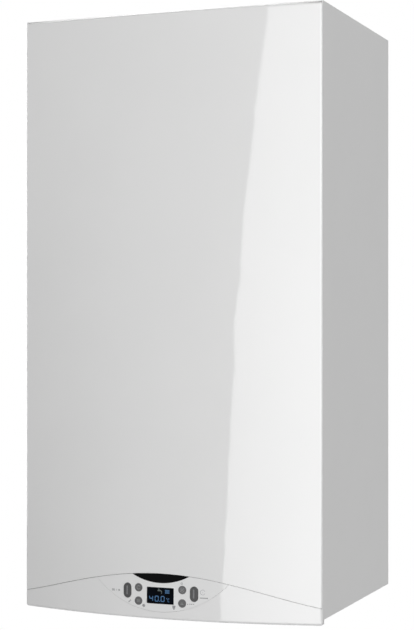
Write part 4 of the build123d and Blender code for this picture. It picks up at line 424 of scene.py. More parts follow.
def lit_segments(colour):
    """Lit liquid-crystal segments: a fine cell grid and slightly uneven backlight."""
    f = Finish("lit_segments", shade(colour, 0.5), 0.3)
    grid = f.maths("MULTIPLY", f.ranged(f.waves(380, "X"), 0.8, 1.0), f.ranged(f.waves(380, "Z"), 0.8, 1.0))
    uneven = f.ranged(f.noise(300, 3), 0.75, 1.2)
    light = f.maths("MULTIPLY", grid, uneven)
    tint = f.ramp(light, (0.0, shade(colour, 0.3)), (1.0, colour))
    f.link(tint, f.shader.inputs["Emission Color"])
    return f.fixed(Emission_Strength=0.2)


def printed_ink(name, colour):
    """Screen-printed ink, a little uneven in density."""
    f = Finish(name, colour, 0.5)
    f.colour(f.ramp(f.noise(900, 4), (0.3, shade(colour, 0.85)), (0.75, shade(colour, 1.3))))
    f.bump(f.noise(3000, 2), 0.000004)
    return f


def vessel_enamel():
    """Red sprayed enamel with a slight orange peel and dust in it."""
    colour = (0.42, 0.035, 0.028)
    f = Finish("vessel_enamel", colour, 0.33)
    f.colour(f.ramp(f.noise(14, 5), (0.3, shade(colour, 0.85)), (0.7, shade(colour, 1.12))))
    f.roughness(f.ranged(f.noise(160, 3), 0.26, 0.42))
    f.bump(f.noise(380, 3), 0.00003)
    return f


FINISHES = {}
BOARD_TOP = 1.7                         # just above the main board's bare sheet
PLUG_ROW = 14                           # depth of the row of plugs along its front edge
CAPACITORS_FROM, TRANSFORMER_TO = 80, -85       # x where the parts at its two ends begin


def make_finishes():
    """Every finish of the boiler, under the name of the record's slot that it stands for."""
    s = bpy.context.scene.boiler_finish
    ink = bpy.context.scene.boiler_print
    main_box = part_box("main_board")
    board_top = main_box[0].z + BOARD_TOP * MM
    plugs_back = main_box[0].y + PLUG_ROW * MM
    display_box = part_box("display_board")
    FINISHES.update({
        "white_enamel": gloss_paint("white_enamel", s.enamel, s.gloss, s.peel),
        "white_moulding": gloss_paint("white_moulding", s.moulding, s.gloss * 1.3, s.peel, 0.008),
        "badge_black": gloss_paint(
            "polished_black", (0.004, 0.004, 0.0045), 0.08, 0.000002, 0.2).fixed(IOR=1.12),
        "display_dark": smoked_window(),
        "key_grey": moulded("soft_touch_grey", s.key, 0.42, 0.00001, 2600, 0.06),
        "top_panel": gloss_paint("satin_enamel", s.enamel, 0.45, s.peel).fixed(IOR=1.3),
        "heating_rocker": moulded("rocker_grey", shade(s.key, 0.52), 0.42, 0.00001, 2600, 0.06),
        "galvanised": zinc_sheet(),
        "seal_foam": foam(),
        "grommet_rubber": rubber(),
        "board_green": circuit_board("circuit_board", board_top, [
            ("X", CAPACITORS_FROM * MM, True, (0.02, 0.03, 0.10)),
            ("X", TRANSFORMER_TO * MM, False, (0.42, 0.30, 0.05)),
            ("Y", plugs_back, False, (0.72, 0.70, 0.62))]),
        "display_board": circuit_board("display_circuit_board", display_box[1].z, []),
        "tray_grey": moulded("flame_retardant_grey", (0.20, 0.205, 0.21), 0.5, 0.00004, 900, 0.05),
        "vessel_red": vessel_enamel(),
        "copper": drawn_metal("drawn_copper", (0.80, 0.36, 0.20), 0.26, (0.45, 0.19, 0.11)),
        "brass": turned_brass(),
        "stainless": drawn_metal("stainless_steel", (0.60, 0.59, 0.57), 0.24, (0.44, 0.43, 0.42)),
        "composite_black": moulded("glass_filled_black", (0.028, 0.028, 0.03), 0.48, 0.00005, 700, 0.2),
        "cast_aluminium": cast_metal(),
        "motor_paint": moulded("motor_black", (0.02, 0.02, 0.022), 0.36, 0.00003, 600, 0.15),
        "ceramic": gloss_paint("glazed_ceramic", (0.80, 0.78, 0.72), 0.15, 0.000006, 0.04),
        "flue_white": moulded("white_polypropylene", (0.76, 0.76, 0.745), 0.4, 0.00002, 900, 0.02),
        "trap_grey": moulded("grey_polypropylene", (0.46, 0.465, 0.47), 0.42, 0.00002, 900, 0.04),
        "impeller_black": moulded("impeller_black", (0.03, 0.03, 0.03), 0.45, 0.00002, 900, 0.15),
        "knob_red": moulded("knob_red", (0.50, 0.025, 0.02), 0.4, 0.00003, 900, 0.08),
        "knob_blue": moulded("knob_blue", (0.02, 0.09, 0.32), 0.4, 0.00003, 900, 0.08),
        "rotor_white": moulded("rotor_white", (0.78, 0.78, 0.76), 0.42, 0.00002, 900, 0.03),
        "ink": printed_ink("fascia_ink", ink.ink),
        "pale_ink": printed_ink("pale_fascia_ink", shade(ink.ink, 1.7)),
        "key_ink": printed_ink("key_ink", ink.key_ink),
        "rocker_ink": printed_ink("rocker_ink", shade(ink.key_ink, 0.62)),
        "lit": lit_segments(ink.lit),
        "pale_lit": lit_segments((0.16, 0.20, 0.20)),
    })
    FINISHES["hot_water_rocker"] = FINISHES["heating_rocker"]


class BOILER_OT_finishes(bpy.types.Operator):
    """Give every carried-over part its finish"""
    bl_idname = "boiler.finishes"
    bl_label = "Finishes"

    def execute(self, context):
        make_finishes()
        for part in frame["record"]["subparts"]:
            node = NODES[part["node"]]
            own = part["node"] if part["node"] in FINISHES else part["material_slot"]
            node.data.materials.clear()
            node.data.materials.append(FINISHES[own].material)
        return {"FINISHED"}


# ------------------------------------------------------------------ flat marks, drawn facing the viewer
DRAWING_Y = -0.36               # metres; in front of the casing, before a mark is laid on its carrier
FILM_GAP = 0.00003              # metres; between a mark and its carrier
BAR_CORNERS = 12
RING_STEP, LEAST_STEPS = 12, 6  # degrees in one step of a curved stroke, and its fewest steps


def select_where(piece, test):
    """Select the vertices that pass a test on their place, and leave the piece in edit mode."""
    only(piece)
    bpy.ops.object.mode_set(mode="EDIT")
    bpy.ops.mesh.select_mode(type="VERT")
    bpy.ops.mesh.select_all(action="DESELECT")
    bpy.ops.object.mode_set(mode="OBJECT")
    for vertex in piece.data.vertices:
        vertex.select = test(vertex.co)
    bpy.ops.object.mode_set(mode="EDIT")


def stand_up(piece, x, height, turn=0.0):
    """Turn a shape drawn on the floor to face the viewer and move it to its place on the front."""
    piece.matrix_world = (
        Matrix.Translation((x * MM, DRAWING_Y, up(height)))
        @ Matrix.Rotation(math.pi / 2, 4, "X") @ Matrix.Rotation(math.radians(turn), 4, "Z"))
    return settle(piece)


def flat_disc(x, height, radius, corners):
    """A disc, or a polygon with few corners."""
    bpy.ops.mesh.primitive_circle_add(vertices=corners, radius=radius * MM, fill_type="NGON")
    return stand_up(added("disc"), x, height)


def flat_bar(x, height, length, width, turn=0.0):
    """A straight stroke with round ends; turn is in degrees, anticlockwise as seen."""
    bpy.ops.mesh.primitive_circle_add(vertices=BAR_CORNERS, radius=width / 2 * MM, fill_type="NGON",
                                      rotation=(0, 0, math.pi / BAR_CORNERS))
    bar = settle(added("bar"))
    half = max(0.0, length - width) / 2 * MM
    for side in (-1, 1):
        select_where(bar, lambda place: place.x * side > 0)
        bpy.ops.transform.translate(value=(side * half, 0, 0))
        bpy.ops.object.mode_set(mode="OBJECT")
    return stand_up(bar, x, height, turn)


def flat_ring(x, height, radius, width, start=0.0, end=360.0):
    """A curved stroke from start to end, in degrees anticlockwise from the right."""
    bpy.ops.mesh.primitive_plane_add(size=width * MM, location=(radius * MM, width / 2 * MM, 0))
    ring = settle(added("ring"))
    select_where(ring, lambda place: place.y > width / 2 * MM)
    bpy.ops.mesh.delete(type="VERT")
    bpy.ops.mesh.select_all(action="SELECT")
    bpy.ops.mesh.spin(steps=max(LEAST_STEPS, int((end - start) / RING_STEP)),
                      angle=-math.radians(end - start), center=(0, 0, 0), axis=(0, 0, 1))
    bpy.ops.mesh.select_all(action="SELECT")
    bpy.ops.mesh.remove_doubles(threshold=1e-7)
    bpy.ops.object.mode_set(mode="OBJECT")
    return stand_up(ring, x, height, start)


def face_viewer(piece):
    """Turn every face of a flat mark towards the viewer, which is along -Y."""
    only(piece)
    bpy.ops.object.mode_set(mode="EDIT")
    bpy.ops.mesh.select_mode(type="FACE")
    bpy.ops.mesh.select_all(action="DESELECT")
    bpy.ops.object.mode_set(mode="OBJECT")
    for polygon in piece.data.polygons:
        polygon.select = polygon.normal.y > 0
    bpy.ops.object.mode_set(mode="EDIT")
    bpy.ops.mesh.flip_normals()
    bpy.ops.object.mode_set(mode="OBJECT")


def lay_on(piece, carrier, film):
    """Lay a flat mark on its carrier's front and give it the thickness of a film."""
    face_viewer(piece)
    wrap = piece.modifiers.new("lay", "SHRINKWRAP")
    wrap.target = NODES[carrier]
    wrap.wrap_method = "PROJECT"
    wrap.wrap_mode = "ABOVE_SURFACE"
    wrap.use_project_y = True
    wrap.use_positive_direction = True
    wrap.use_negative_direction = False
    wrap.offset = FILM_GAP
    solid = piece.modifiers.new("film", "SOLIDIFY")
    solid.thickness = film
    solid.offset = 1.0
    apply_modifiers(piece)


def mark(name, shapes, carrier, body, finish):
    """One printed mark: its flat shapes joined, laid on the carrier and finished."""
    piece = united(name, shapes)
    lay_on(piece, carrier, bpy.context.scene.boiler_print.film)
    finish_piece(piece, body, FINISHES[finish].material)


# ------------------------------------------------------------------ display
SEGMENTS = {"0": "abcdef", "4": "bcfg", "C": "adef"}
SEGMENT_SHARE = 0.94            # a segment's length, as a share of its side of the digit
READING = ((-12.1, "4"), (-4.6, "0"), (3.3, "0"))       # each digit's middle and glyph
READING_HEIGHT = 18.6
DIGIT_WIDTH, DIGIT_STROKE = 5.2, 1.0


def segment_places(width, height):
    """Middle and turn of each of the seven segments, about the digit's middle."""
    w, h = width / 2, height / 2
    return {
        "a": (0, h, 0), "g": (0, 0, 0), "d": (0, -h, 0),
        "f": (-w, h / 2, 90), "b": (w, h / 2, 90), "e": (-w, -h / 2, 90), "c": (w, -h / 2, 90),
    }


def flat_segment(x, height, length, width, turn):
    """One lit segment: a six-cornered disc stretched to a bar with pointed ends."""
    corner = width / math.sqrt(3)
    bpy.ops.mesh.primitive_circle_add(vertices=6, radius=corner * MM, fill_type="NGON",
                                      rotation=(0, 0, math.pi / 6))
    segment = settle(added("segment"))
    for side in (-1, 1):
        select_where(segment, lambda place: place.x * side > corner / 4 * MM)
        bpy.ops.transform.translate(value=(side * (length / 2 - corner) * MM, 0, 0))
        bpy.ops.object.mode_set(mode="OBJECT")
    return stand_up(segment, x, height, turn)


def digit(x, height, glyph, width, tall, stroke):
    """A seven-segment glyph about its middle."""
    places = segment_places(width - stroke, tall - stroke)
    shapes = []
    for name in SEGMENTS[glyph]:
        dx, dz, turn = places[name]
        length = (width - stroke) if turn == 0 else (tall - stroke) / 2
        shapes.append(flat_segment(x + dx, height + dz, length * SEGMENT_SHARE, stroke, turn))
    return shapes


class BOILER_OT_display(bpy.types.Operator):
    """Lit digits and symbols on the display"""
    bl_idname = "boiler.display"
    bl_label = "Display"

    def execute(self, context):
        def shown(name, shapes, finish):
            mark("display_" + name, shapes, "display_window", "control_tray", finish)

        tall = context.scene.boiler_print.digit_height / MM
        shapes = []
        for x, glyph in READING:
            shapes += digit(x, READING_HEIGHT, glyph, DIGIT_WIDTH, tall, DIGIT_STROKE)
        point = flat_disc(-0.65, READING_HEIGHT - tall / 2 + DIGIT_STROKE / 2, 0.55, 12)
        degree = flat_ring(8.9, READING_HEIGHT + 0.7, 0.65, 0.35)
        shapes += [point, degree] + digit(11.4, READING_HEIGHT - 1.3, "C", 2.7, 4.4, 0.65)
        shown("digits", shapes, "lit")
        tap = [flat_bar(-1.5, 28.5, 4.4, 1.1), flat_bar(-1.9, 29.6, 1.6, 0.8, 90),
               flat_bar(-1.9, 30.4, 3.0, 0.6), flat_ring(0.6, 27.4, 1.15, 1.0, 0, 90),
               flat_bar(1.75, 26.9, 1.3, 1.0, 90), flat_disc(1.75, 25.3, 0.5, 12)]
        shown("tap_symbol", tap, "pale_lit")
        radiator = [flat_bar(7.0 + 1.5 * k, 27.6, 4.6, 0.8, 90) for k in range(4)]
        radiator += [flat_bar(9.25, height, 6.2, 0.5) for height in (29.2, 26.0)]
        shown("radiator_symbol", radiator, "lit")
        return {"FINISHED"}


# ------------------------------------------------------------------ printed marks
BUTTON_X, UPPER_ROW, LOWER_ROW = 29.2, 31.0, 14.6
ROCKER_X, ROCKER_ROW = 44.5, 26.9
SLOPE = 42                      # degrees; the row of ticks below the left-hand keys


def arrow(x, height, size, turn):
    """A small chevron that points along turn."""
    a = math.radians(turn)
    dx, dz = math.cos(a) * size * 0.3, math.sin(a) * size * 0.3
    return [flat_bar(x + dx - math.cos(a + s) * size * 0.3, height + dz - math.sin(a + s) * size * 0.3,
                     size * 0.75, size * 0.16, turn + math.degrees(s)) for s in (0.8, -0.8)]


class BOILER_OT_fascia_marks(bpy.types.Operator):
    """Small pictograms printed round the keys"""
    bl_idname = "boiler.fascia_marks"
    bl_label = "Fascia marks"

    def execute(self, context):
        def printed(name, shapes, finish):
            mark(name + "_pictogram", shapes, "control_island", "control_tray", finish)

        heating = [flat_bar(-66.0 + 0.95 * k, 25.9, 2.6, 0.5, 90) for k in range(4)]
        heating += [flat_bar(-64.6, height, 3.9, 0.35) for height in (25.0, 26.8)]
        heating += [flat_bar(-60.6, 25.9, 2.2, 0.4, 90), flat_bar(-59.6, 25.9, 1.4, 0.4, 90)]
        heating += [flat_ring(-56.4, 25.9, 0.9, 0.55), flat_bar(-56.4, 25.9, 2.6, 0.3, 45),
                    flat_bar(-56.4, 25.9, 2.6, 0.3, -45)]
        printed("heating", heating, "ink")
        printed("faint_dots", [flat_disc(-74.6 + 1.5 * k, 25.2, 0.32, 8) for k in range(3)], "pale_ink")
        dial = [flat_ring(55.5, 29.3, 3.0, 0.7, 20, 340), flat_bar(55.5, 29.3, 2.2, 0.5, 60)]
        printed("dial", dial, "pale_ink")
        printed("dial_rule", [flat_bar(56.4, 22.4, 9.4, 1.1), flat_disc(61.4, 22.4, 0.8, 16)], "ink")
        across, rise = math.cos(math.radians(SLOPE)), math.sin(math.radians(SLOPE))
        ticks = [flat_bar(-41.3 + step * across, 13.5 + step * rise, 1.8, 0.55, SLOPE + 90)
                 for step in (-2.0, -0.7, 0.6, 1.9)]
        ticks.append(flat_bar(-41.3, 13.2, 4.6, 0.4, SLOPE))
        printed("slope", ticks, "ink")
        flake = [flat_bar(-22, 9.1, 4.8, 0.7, 60 * k + 15) for k in range(3)]
        flake.append(flat_ring(-22, 9.1, 1.4, 0.55))
        printed("frost", flake, "ink")
        cup = [flat_disc(18.4, 9.3, 2.1, 6), flat_bar(18.4, 10.8, 4.6, 1.1), flat_bar(18.4, 7.0, 2.0, 1.0)]
        printed("reset", cup, "ink")
        dots = [flat_disc(36.4 + 2.5 * k, 14.0 + 0.15 * k, 0.6, 10) for k in range(4)]
        dots.append(flat_bar(41.8, 14.35, 6.0, 0.5))
        printed("timer", dots, "ink")
        power = [flat_ring(28.4, 38.8, 1.2, 0.45, -235, 55), flat_bar(28.4, 39.6, 1.7, 0.45, 90)]
        printed("power", power, "ink")
        return {"FINISHED"}


class BOILER_OT_key_marks(bpy.types.Operator):
    """Marks on the round buttons and the rocker keys"""
    bl_idname = "boiler.key_marks"
    bl_label = "Key marks"

    def execute(self, context):
        def marked(key, shapes, finish):
            mark(key + "_mark", shapes, key, key, finish)

        x, upper, lower = BUTTON_X, UPPER_ROW, LOWER_ROW
        ring = [flat_ring(-x, upper, 2.1, 0.5, 40, 320)] + arrow(-x + 1.7, upper + 1.5, 1.8, 60)
        lines = [flat_bar(-x, lower + dz, 4.2, 0.5) for dz in (-1.3, 0, 1.3)]
        cross = [flat_bar(x, upper, 4.2, 0.55, turn) for turn in (45, -45)] + [flat_ring(x, upper, 2.6, 0.4)]
        wave = [flat_bar(x, lower - 0.9, 4.4, 0.6), flat_bar(x, lower + 0.6, 2.6, 0.6)]
        for name, shapes in (("upper_left", ring), ("lower_left", lines), ("upper_right", cross),
                             ("lower_right", wave)):
            marked(name + "_button", shapes, "key_ink")
        for key, side in (("heating_rocker", -1), ("hot_water_rocker", 1)):
            # A lighter grey upright bar down each rocker key, a little left of its middle, laid on the key as
            # a flat mark.
            bar = flat_bar(side * ROCKER_X - 0.3, ROCKER_ROW, 11.0, 1.9, 90)
            marked(key, [bar], "rocker_ink")
        return {"FINISHED"}


# ------------------------------------------------------------------ connections
CONNECTION_Y, CONNECTION_PITCH = -95, 67
WIDE_THREAD, NARROW_THREAD = 13.2, 10.45        # radius of the tails, before their threads
CONNECTIONS = (                                 # name, place along the row, and radius
    ("heating_flow", -2, WIDE_THREAD), ("hot_water", -1, NARROW_THREAD), ("gas", 0, WIDE_THREAD),
    ("cold_water", 1, NARROW_THREAD), ("heating_return", 2, WIDE_THREAD),
)
THREAD_START = 1.6                              # above the tail's lower end
THREAD_FOOT = 0.42                              # half of the ridge's foot, as a share of the pitch
THREAD_STEPS = 40                               # in one turn


def thread_on(name, x, radius):
    """A helical thread round one connection tail, wound from a small triangle."""
    s = bpy.context.scene.boiler_hardware
    depth, pitch = s.thread_depth, s.thread_pitch
    bpy.ops.object.select_all(action="DESELECT")
    bpy.ops.mesh.primitive_circle_add(vertices=3, radius=1, fill_type="NGON")
    ridge = added(name)
    # The new triangle is 1.5 deep and 2 sin 60 wide; its tip goes to the crest, its foot into the tail.
    reach, half_foot = 2 * depth / 1.5, THREAD_FOOT * pitch / math.sin(math.pi / 3)
    ridge.location = (radius + depth - reach, 0, 0)
    ridge.rotation_euler = (math.pi / 2, math.pi / 2, 0)
    ridge.scale = (half_foot, reach, 1)
    settle(ridge)
    screw = ridge.modifiers.new("wind", "SCREW")
    screw.axis = "Z"
    screw.angle = 2 * math.pi * s.thread_turns
    screw.screw_offset = pitch * s.thread_turns
    screw.steps = screw.render_steps = THREAD_STEPS * s.thread_turns
    screw.use_merge_vertices = False
    apply_modifiers(ridge)
    select_where(ridge, lambda place: True)
    bpy.ops.mesh.fill_holes(sides=3)
    bpy.ops.object.mode_set(mode="OBJECT")
    tail_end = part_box("connection_tails")[0].z
    ridge.location = (x, CONNECTION_Y * MM, tail_end + THREAD_START * MM)
    settle(ridge)
    recalculate(ridge)
    bpy.ops.object.shade_smooth_by_angle(angle=math.radians(35))
    finish_piece(ridge, "casing", FINISHES["brass"].material)


class BOILER_OT_threads(bpy.types.Operator):
    """Threads on the five brass connections"""
    bl_idname = "boiler.threads"
    bl_label = "Threads"

    def execute(self, context):
        for name, place, radius in CONNECTIONS:
            thread_on(name + "_thread", place * CONNECTION_PITCH * MM, radius * MM)
        return {"FINISHED"}


# ------------------------------------------------------------------ screws, nuts and seals
FLUE_AXIS_Y, COLLAR_TOP = -150, 750
COLLAR_SCREWS = 58                      # radius of their circle
FAN, FAN_SCREWS = (124, 335), 57        # x and height of its axis, and radius of the circle
BURNER_DOOR, DUCT_SCREWS = (-40, 500), 24
COIL_LENGTH = 30                        # the gas valve's body begins this far behind its coil's front
VALVE_X, VALVE_HEIGHT = 136, 233
VALVE_SCREWS_X, VALVE_SCREWS_RISE = 146, 22     # one below and one above the valve's middle
PUMP = (112, 118)
TRAP_X, TRAP_RADIUS = -40, 32
SEAL_THICKNESS, SEAL_STRETCH = 0.8, 2.2         # half the thickness; the stretch is a factor upwards
RIB_THICKNESS, RIB_STRETCH = 1.2, 1.6
FLOW_FOOT, RETURN_FOOT = -120, 60       # x of the copper pipes' lower ends
FLOW_HEAD, RETURN_HEAD = -120, 40       # and of their upper ends
MANIFOLD_TOP, HEAD_HEIGHT = 150, 386    # heights of the nuts at both ends
SUNK = 0.5                              # how far a fastener sits in its seat
HEAD_RADIUS, HEAD_DEPTH, HEAD_DOME = 3.6, 2, 0.9
HEAD_RIM, HEAD_RECESS = 1.2, 1.1        # round a screw's recess, and its depth
HEX_CHAMFER = 0.07                      # share of the radius
WASHER = 1.4                            # thickness
UPWARDS = (0, 0, 0)
FORWARDS = (math.pi / 2, 0, 0)          # turns a shape that stands on the floor to face the viewer


def cylinder(name, corners, radius, depth, middle=0.0):
    """An upright cylinder or prism over the origin, with its middle at a height."""
    bpy.ops.object.select_all(action="DESELECT")
    bpy.ops.mesh.primitive_cylinder_add(vertices=corners, radius=radius * MM, depth=depth * MM,
                                        location=(0, 0, middle * MM))
    return settle(added(name))


def bevel_where(piece, test, offset, segments):
    """Round the edges between the vertices that pass a test."""
    select_where(piece, test)
    bpy.ops.mesh.bevel(offset=offset * MM, segments=segments, affect="EDGES")
    bpy.ops.object.mode_set(mode="OBJECT")


def pan_head():
    """A pan-head screw standing on the floor: a domed disc with a round recess, cut in edit mode."""
    head = cylinder("pan_head", 24, HEAD_RADIUS, HEAD_DEPTH, HEAD_DEPTH / 2)
    just_below_top = (HEAD_DEPTH - 0.1) * MM
    bevel_where(head, lambda place: place.z > just_below_top, HEAD_DOME, 3)
    select_where(head, lambda place: place.z > just_below_top)
    bpy.ops.mesh.select_mode(type="FACE")
    bpy.ops.mesh.inset(thickness=HEAD_RIM * MM)
    bpy.ops.mesh.extrude_region_move(TRANSFORM_OT_translate={"value": (0, 0, -HEAD_RECESS * MM)})
    bpy.ops.object.mode_set(mode="OBJECT")
    return head


def hexagon(radius, height, bore=0.0, washer=0.0):
    """A chamfered hexagon standing on the floor, with a bore or with a washer under it."""
    nut = cylinder("nut", 6, radius, height, height / 2)
    for level in (0, height):
        bevel_where(nut, lambda place: abs(place.z - level * MM) < 0.1 * MM, radius * HEX_CHAMFER, 2)
    if bore:
        drill = cylinder("drill", 40, bore, 3 * height)
        cut = nut.modifiers.new("bore", "BOOLEAN")
        cut.operation, cut.solver, cut.object = "DIFFERENCE", "EXACT", drill
        apply_modifiers(nut)
        only(drill)
        bpy.ops.object.delete()
    if washer:
        disc = cylinder("washer", 40, washer, WASHER, WASHER / 2)
        bevel_where(disc, lambda place: place.z > 0, 0.5, 2)
        nut = united("nut", [nut, disc])
    return nut


def copied(name, master, places, facing, finish):
    """Copies of one fastener at places of x, y and height, as one piece of the casing."""
    made = []
    for x, y, height in places:
        only(master)
        bpy.ops.object.duplicate(linked=False)
        copy = bpy.context.view_layer.objects.active
        copy.rotation_euler = facing
        copy.location = (x * MM, y * MM, up(height))
        made.append(settle(copy))
    only(master)
    bpy.ops.object.delete()
    piece = united(name, made)
    bpy.ops.object.shade_smooth_by_angle(angle=math.radians(40))
    finish_piece(piece, "casing", FINISHES[finish].material)


def ring_seal(name, x, height, radius, thickness, stretch, finish):
    """A lip or rib round an upright pipe in the flue's plane: a thin torus drawn out upwards."""
    centre = (x * MM, FLUE_AXIS_Y * MM, up(height))
    bpy.ops.object.select_all(action="DESELECT")
    bpy.ops.mesh.primitive_torus_add(major_radius=radius * MM, minor_radius=thickness * MM,
                                     major_segments=72, minor_segments=10, location=centre)
    seal = settle(added(name))
    select_where(seal, lambda place: True)
    bpy.ops.transform.resize(value=(1, 1, stretch), center_override=centre)
    bpy.ops.object.mode_set(mode="OBJECT")
    bpy.ops.object.shade_smooth_by_angle(angle=math.radians(60))
    finish_piece(seal, "casing", FINISHES[finish].material)


def on_circle(middle, radius, degrees):
    """Places on a circle round a middle of x and height."""
    x, height = middle
    return [(x + radius * math.cos(math.radians(a)), height + radius * math.sin(math.radians(a)))
            for a in degrees]


class BOILER_OT_collar_fittings(bpy.types.Operator):
    """Screws and seals of the flue collar"""
    bl_idname = "boiler.collar_fittings"
    bl_label = "Collar fittings"

    def execute(self, context):
        circle = on_circle((0, 0), COLLAR_SCREWS, (45, 135, 225, 315))
        corners = [(x, FLUE_AXIS_Y + y, COLLAR_TOP - SUNK) for x, y in circle]
        copied("collar_screws", pan_head(), corners, UPWARDS, "stainless")
        for name, height, radius in (("air_collar_seal", 757, 47.4), ("flue_socket_seal", 754, 29.3)):
            ring_seal(name, 0, height, radius, SEAL_THICKNESS, SEAL_STRETCH, "grommet_rubber")
        return {"FINISHED"}


class BOILER_OT_works_fittings(bpy.types.Operator):
    """Screws, nuts, plugs and ribs of the works inside the casing"""
    bl_idname = "boiler.works_fittings"
    bl_label = "Works fittings"

    def execute(self, context):
        casting_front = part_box("fan_housing")[0].y / MM + SUNK
        circles = on_circle(FAN, FAN_SCREWS, (15, -40, -90, -140, 165))
        circles += on_circle(BURNER_DOOR, DUCT_SCREWS, (110, 180, 250))
        places = [(x, casting_front, z) for x, z in circles]
        copied("casting_screws", pan_head(), places, FORWARDS, "stainless")
        valve_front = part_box("gas_valve")[0].y / MM + COIL_LENGTH + SUNK
        places = [(VALVE_SCREWS_X, valve_front, VALVE_HEIGHT + side * VALVE_SCREWS_RISE) for side in (1, -1)]
        copied("gas_valve_screws", pan_head(), places, FORWARDS, "stainless")
        places = [(VALVE_X, valve_front, VALVE_HEIGHT)]
        copied("gas_valve_cap", hexagon(7, 5, washer=8.5), places, FORWARDS, "brass")
        places = [(PUMP[0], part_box("pump_motor")[0].y / MM + SUNK, PUMP[1])]
        copied("pump_vent_plug", hexagon(7.5, 4.5, washer=12), places, FORWARDS, "brass")
        places = [(x, CONNECTION_Y, MANIFOLD_TOP - SUNK) for x in (FLOW_FOOT, RETURN_FOOT)]
        places += [(x, FLUE_AXIS_Y, HEAD_HEIGHT) for x in (FLOW_HEAD, RETURN_HEAD)]
        copied("union_nuts", hexagon(15.5, 14, bore=9.05), places, UPWARDS, "brass")
        for name, height in (("upper", 336), ("lower", 248)):
            ring_seal(name + "_trap_rib", TRAP_X, height, TRAP_RADIUS, RIB_THICKNESS, RIB_STRETCH,
                      "trap_grey")
        return {"FINISHED"}


# ------------------------------------------------------------------ studio
# All in metres. The front cover mirrors the softbox's left edge as an upright edge of light.
FLOOR_SIZE = 24
KEY_EDGE = (-0.41, -3.0, -0.05)         # middle of its left edge
KEY_WIDTH, KEY_HEIGHT = 4.1, 2.6
KEY_ROLL = math.radians(6.5)
KEY_SLOPE = 0.45                        # its right edge outshines its middle by this share
FILL_SIZE = 2.2
FILLS = (                               # name, place, and the point aimed at
    ("left_fill", (-3.0, 1.0, 0.1), (0, -0.15, -0.33)),
    ("back_fill", (-0.9, 2.0, 1.8), (0, -0.15, -0.2)),
)
CAMERA_PLACE, CAMERA_AIM = (0.7889, -2.1763, -0.3365), (-0.36296, 0.93181, 0)
CAMERA_SHIFT = (-0.009456, 0.018702)
SENSOR_WIDTH = 36                       # millimetres


def seen_directly(tree):
    """1 for the camera, gloss and glass, and 0 for the light that falls on the object."""
    path = tree.nodes.new("ShaderNodeLightPath")
    total = path.outputs["Is Camera Ray"]
    for name in ("Is Glossy Ray", "Is Transmission Ray"):
        either = tree.nodes.new("ShaderNodeMath")
        either.operation = "MAXIMUM"
        tree.links.new(total, either.inputs[0])
        tree.links.new(path.outputs[name], either.inputs[1])
        total = either.outputs[0]
    return total


def softbox(name, place, aim, width, height, power, brighter=0.0, roll=0.0):
    """A rectangular lamp aimed at a point; brighter is the share by which one edge outshines the middle."""
    bpy.ops.object.select_all(action="DESELECT")
    bpy.ops.object.light_add(type="AREA")
    lamp = bpy.context.view_layer.objects.active
    lamp.name = name
    lamp.data.shape = "RECTANGLE"
    lamp.data.size = width
    lamp.data.size_y = height
    lamp.data.energy = power
    turn = (Vector(aim) - Vector(place)).to_track_quat("-Z", "Y").to_matrix().to_4x4()
    lamp.matrix_world = Matrix.Translation(place) @ turn @ Matrix.Rotation(roll, 4, "Z")
    lamp.visible_camera = False
    if brighter:
        lamp.data.use_nodes = True
        tree = lamp.data.node_tree
        across = tree.nodes.new("ShaderNodeSeparateXYZ")
        tree.links.new(tree.nodes.new("ShaderNodeNewGeometry").outputs["Parametric"], across.inputs[0])
        strength = tree.nodes.new("ShaderNodeMapRange")
        strength.inputs["To Min"].default_value = 1 - brighter
        strength.inputs["To Max"].default_value = 1 + brighter
        tree.links.new(across.outputs["X"], strength.inputs["Value"])
        tree.links.new(strength.outputs["Result"], tree.nodes["Emission"].inputs["Strength"])


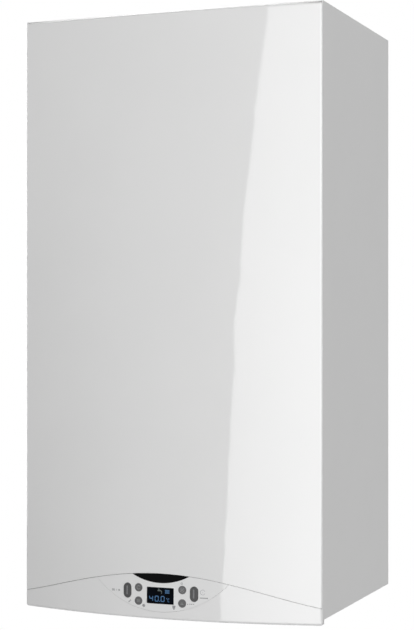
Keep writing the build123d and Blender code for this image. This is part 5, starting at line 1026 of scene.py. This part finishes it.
class BOILER_OT_stage(bpy.types.Operator):
    """Floor, soft light, surroundings and camera"""
    bl_idname = "boiler.stage"
    bl_label = "Stage"

    def floor(self, settings):
        bpy.ops.object.select_all(action="DESELECT")
        bpy.ops.mesh.primitive_plane_add(size=FLOOR_SIZE, location=(0, 0, -settings.floor_drop))
        floor = settle(added("studio_floor"))
        paper = Finish("studio_paper", settings.paper, 0.9)
        fibre = paper.noise(3, 4)
        paper.colour(paper.ramp(fibre, (0.3, shade(settings.paper, 0.985)), (0.7, settings.paper)))
        tree = paper.tree
        lift = paper.maths("MULTIPLY", seen_directly(tree), settings.floor_lift)
        glow = tree.nodes.new("ShaderNodeEmission")
        tree.links.new(lift, glow.inputs["Strength"])
        total = tree.nodes.new("ShaderNodeAddShader")
        tree.links.new(paper.shader.outputs[0], total.inputs[0])
        tree.links.new(glow.outputs[0], total.inputs[1])
        tree.links.new(total.outputs[0], tree.nodes["Material Output"].inputs["Surface"])
        floor.data.materials.append(paper.material)

    def surroundings(self, scene, settings):
        world = bpy.data.worlds.new("studio")
        world.use_nodes = True
        scene.world = world
        tree = world.node_tree
        even = tree.nodes["Background"]
        even.inputs["Color"].default_value = (1, 1, 1, 1)
        even.inputs["Strength"].default_value = settings.ambient
        white = tree.nodes.new("ShaderNodeBackground")
        white.inputs["Color"].default_value = (1, 1, 1, 1)
        white.inputs["Strength"].default_value = 1.0
        choose = tree.nodes.new("ShaderNodeMixShader")
        tree.links.new(seen_directly(tree), choose.inputs[0])
        tree.links.new(even.outputs[0], choose.inputs[1])
        tree.links.new(white.outputs[0], choose.inputs[2])
        tree.links.new(choose.outputs[0], tree.nodes["World Output"].inputs["Surface"])

    def lamps(self, settings):
        x, y, z = KEY_EDGE
        x += KEY_WIDTH / 2 * math.cos(KEY_ROLL)
        z += KEY_WIDTH / 2 * math.sin(KEY_ROLL)
        softbox("key_softbox", (x, y, z), (x, 0, z), KEY_WIDTH, KEY_HEIGHT, settings.key_power,
                KEY_SLOPE, KEY_ROLL)
        for name, place, aim in FILLS:
            softbox(name, place, aim, FILL_SIZE, FILL_SIZE, settings.fill_power)

    def camera(self, scene, settings):
        bpy.ops.object.camera_add(location=CAMERA_PLACE)
        camera = bpy.context.view_layer.objects.active
        camera.name = "camera"
        turn = Vector(CAMERA_AIM).to_track_quat("-Z", "Y").to_matrix().to_4x4()
        camera.matrix_world = Matrix.Translation(camera.location) @ turn
        camera.data.sensor_width = SENSOR_WIDTH
        camera.data.lens = settings.lens
        camera.data.shift_x, camera.data.shift_y = CAMERA_SHIFT
        scene.camera = camera

    def execute(self, context):
        settings = context.scene.boiler_stage
        self.floor(settings)
        self.surroundings(context.scene, settings)
        self.lamps(settings)
        self.camera(context.scene, settings)
        context.scene.view_settings.view_transform = "Standard"
        return {"FINISHED"}


# ------------------------------------------------------------------ panel
GROUPS = (
    ("boiler_finish", FinishSettings), ("boiler_print", PrintSettings),
    ("boiler_hardware", HardwareSettings), ("boiler_stage", StageSettings),
)
OPERATORS = (
    BOILER_OT_finishes, BOILER_OT_display, BOILER_OT_fascia_marks, BOILER_OT_key_marks,
    BOILER_OT_threads, BOILER_OT_collar_fittings, BOILER_OT_works_fittings, BOILER_OT_stage,
)


class BOILER_PT_builder(bpy.types.Panel):
    """Settings and steps of the boiler"""
    bl_label = "Combi boiler"
    bl_idname = "BOILER_PT_builder"
    bl_space_type = "VIEW_3D"
    bl_region_type = "UI"
    bl_category = "Boiler"

    def draw(self, context):
        for name, group in GROUPS:
            column = self.layout.column(align=True)
            settings = getattr(context.scene, name)
            for prop in group.__annotations__:
                column.prop(settings, prop)
        for operator in OPERATORS:
            self.layout.operator(operator.bl_idname)


CLASSES = tuple(group for name, group in GROUPS) + OPERATORS + (BOILER_PT_builder,)


def register():
    for cls in CLASSES:
        bpy.utils.register_class(cls)
    for name, group in GROUPS:
        setattr(bpy.types.Scene, name, PointerProperty(type=group))


def unregister():
    for name, group in GROUPS:
        delattr(bpy.types.Scene, name)
    for cls in reversed(CLASSES):
        bpy.utils.unregister_class(cls)


def main():
    register()
    for operator in OPERATORS:
        group, name = operator.bl_idname.split(".")
        getattr(getattr(bpy.ops, group), name)()


if __name__ == "__main__":
    main()
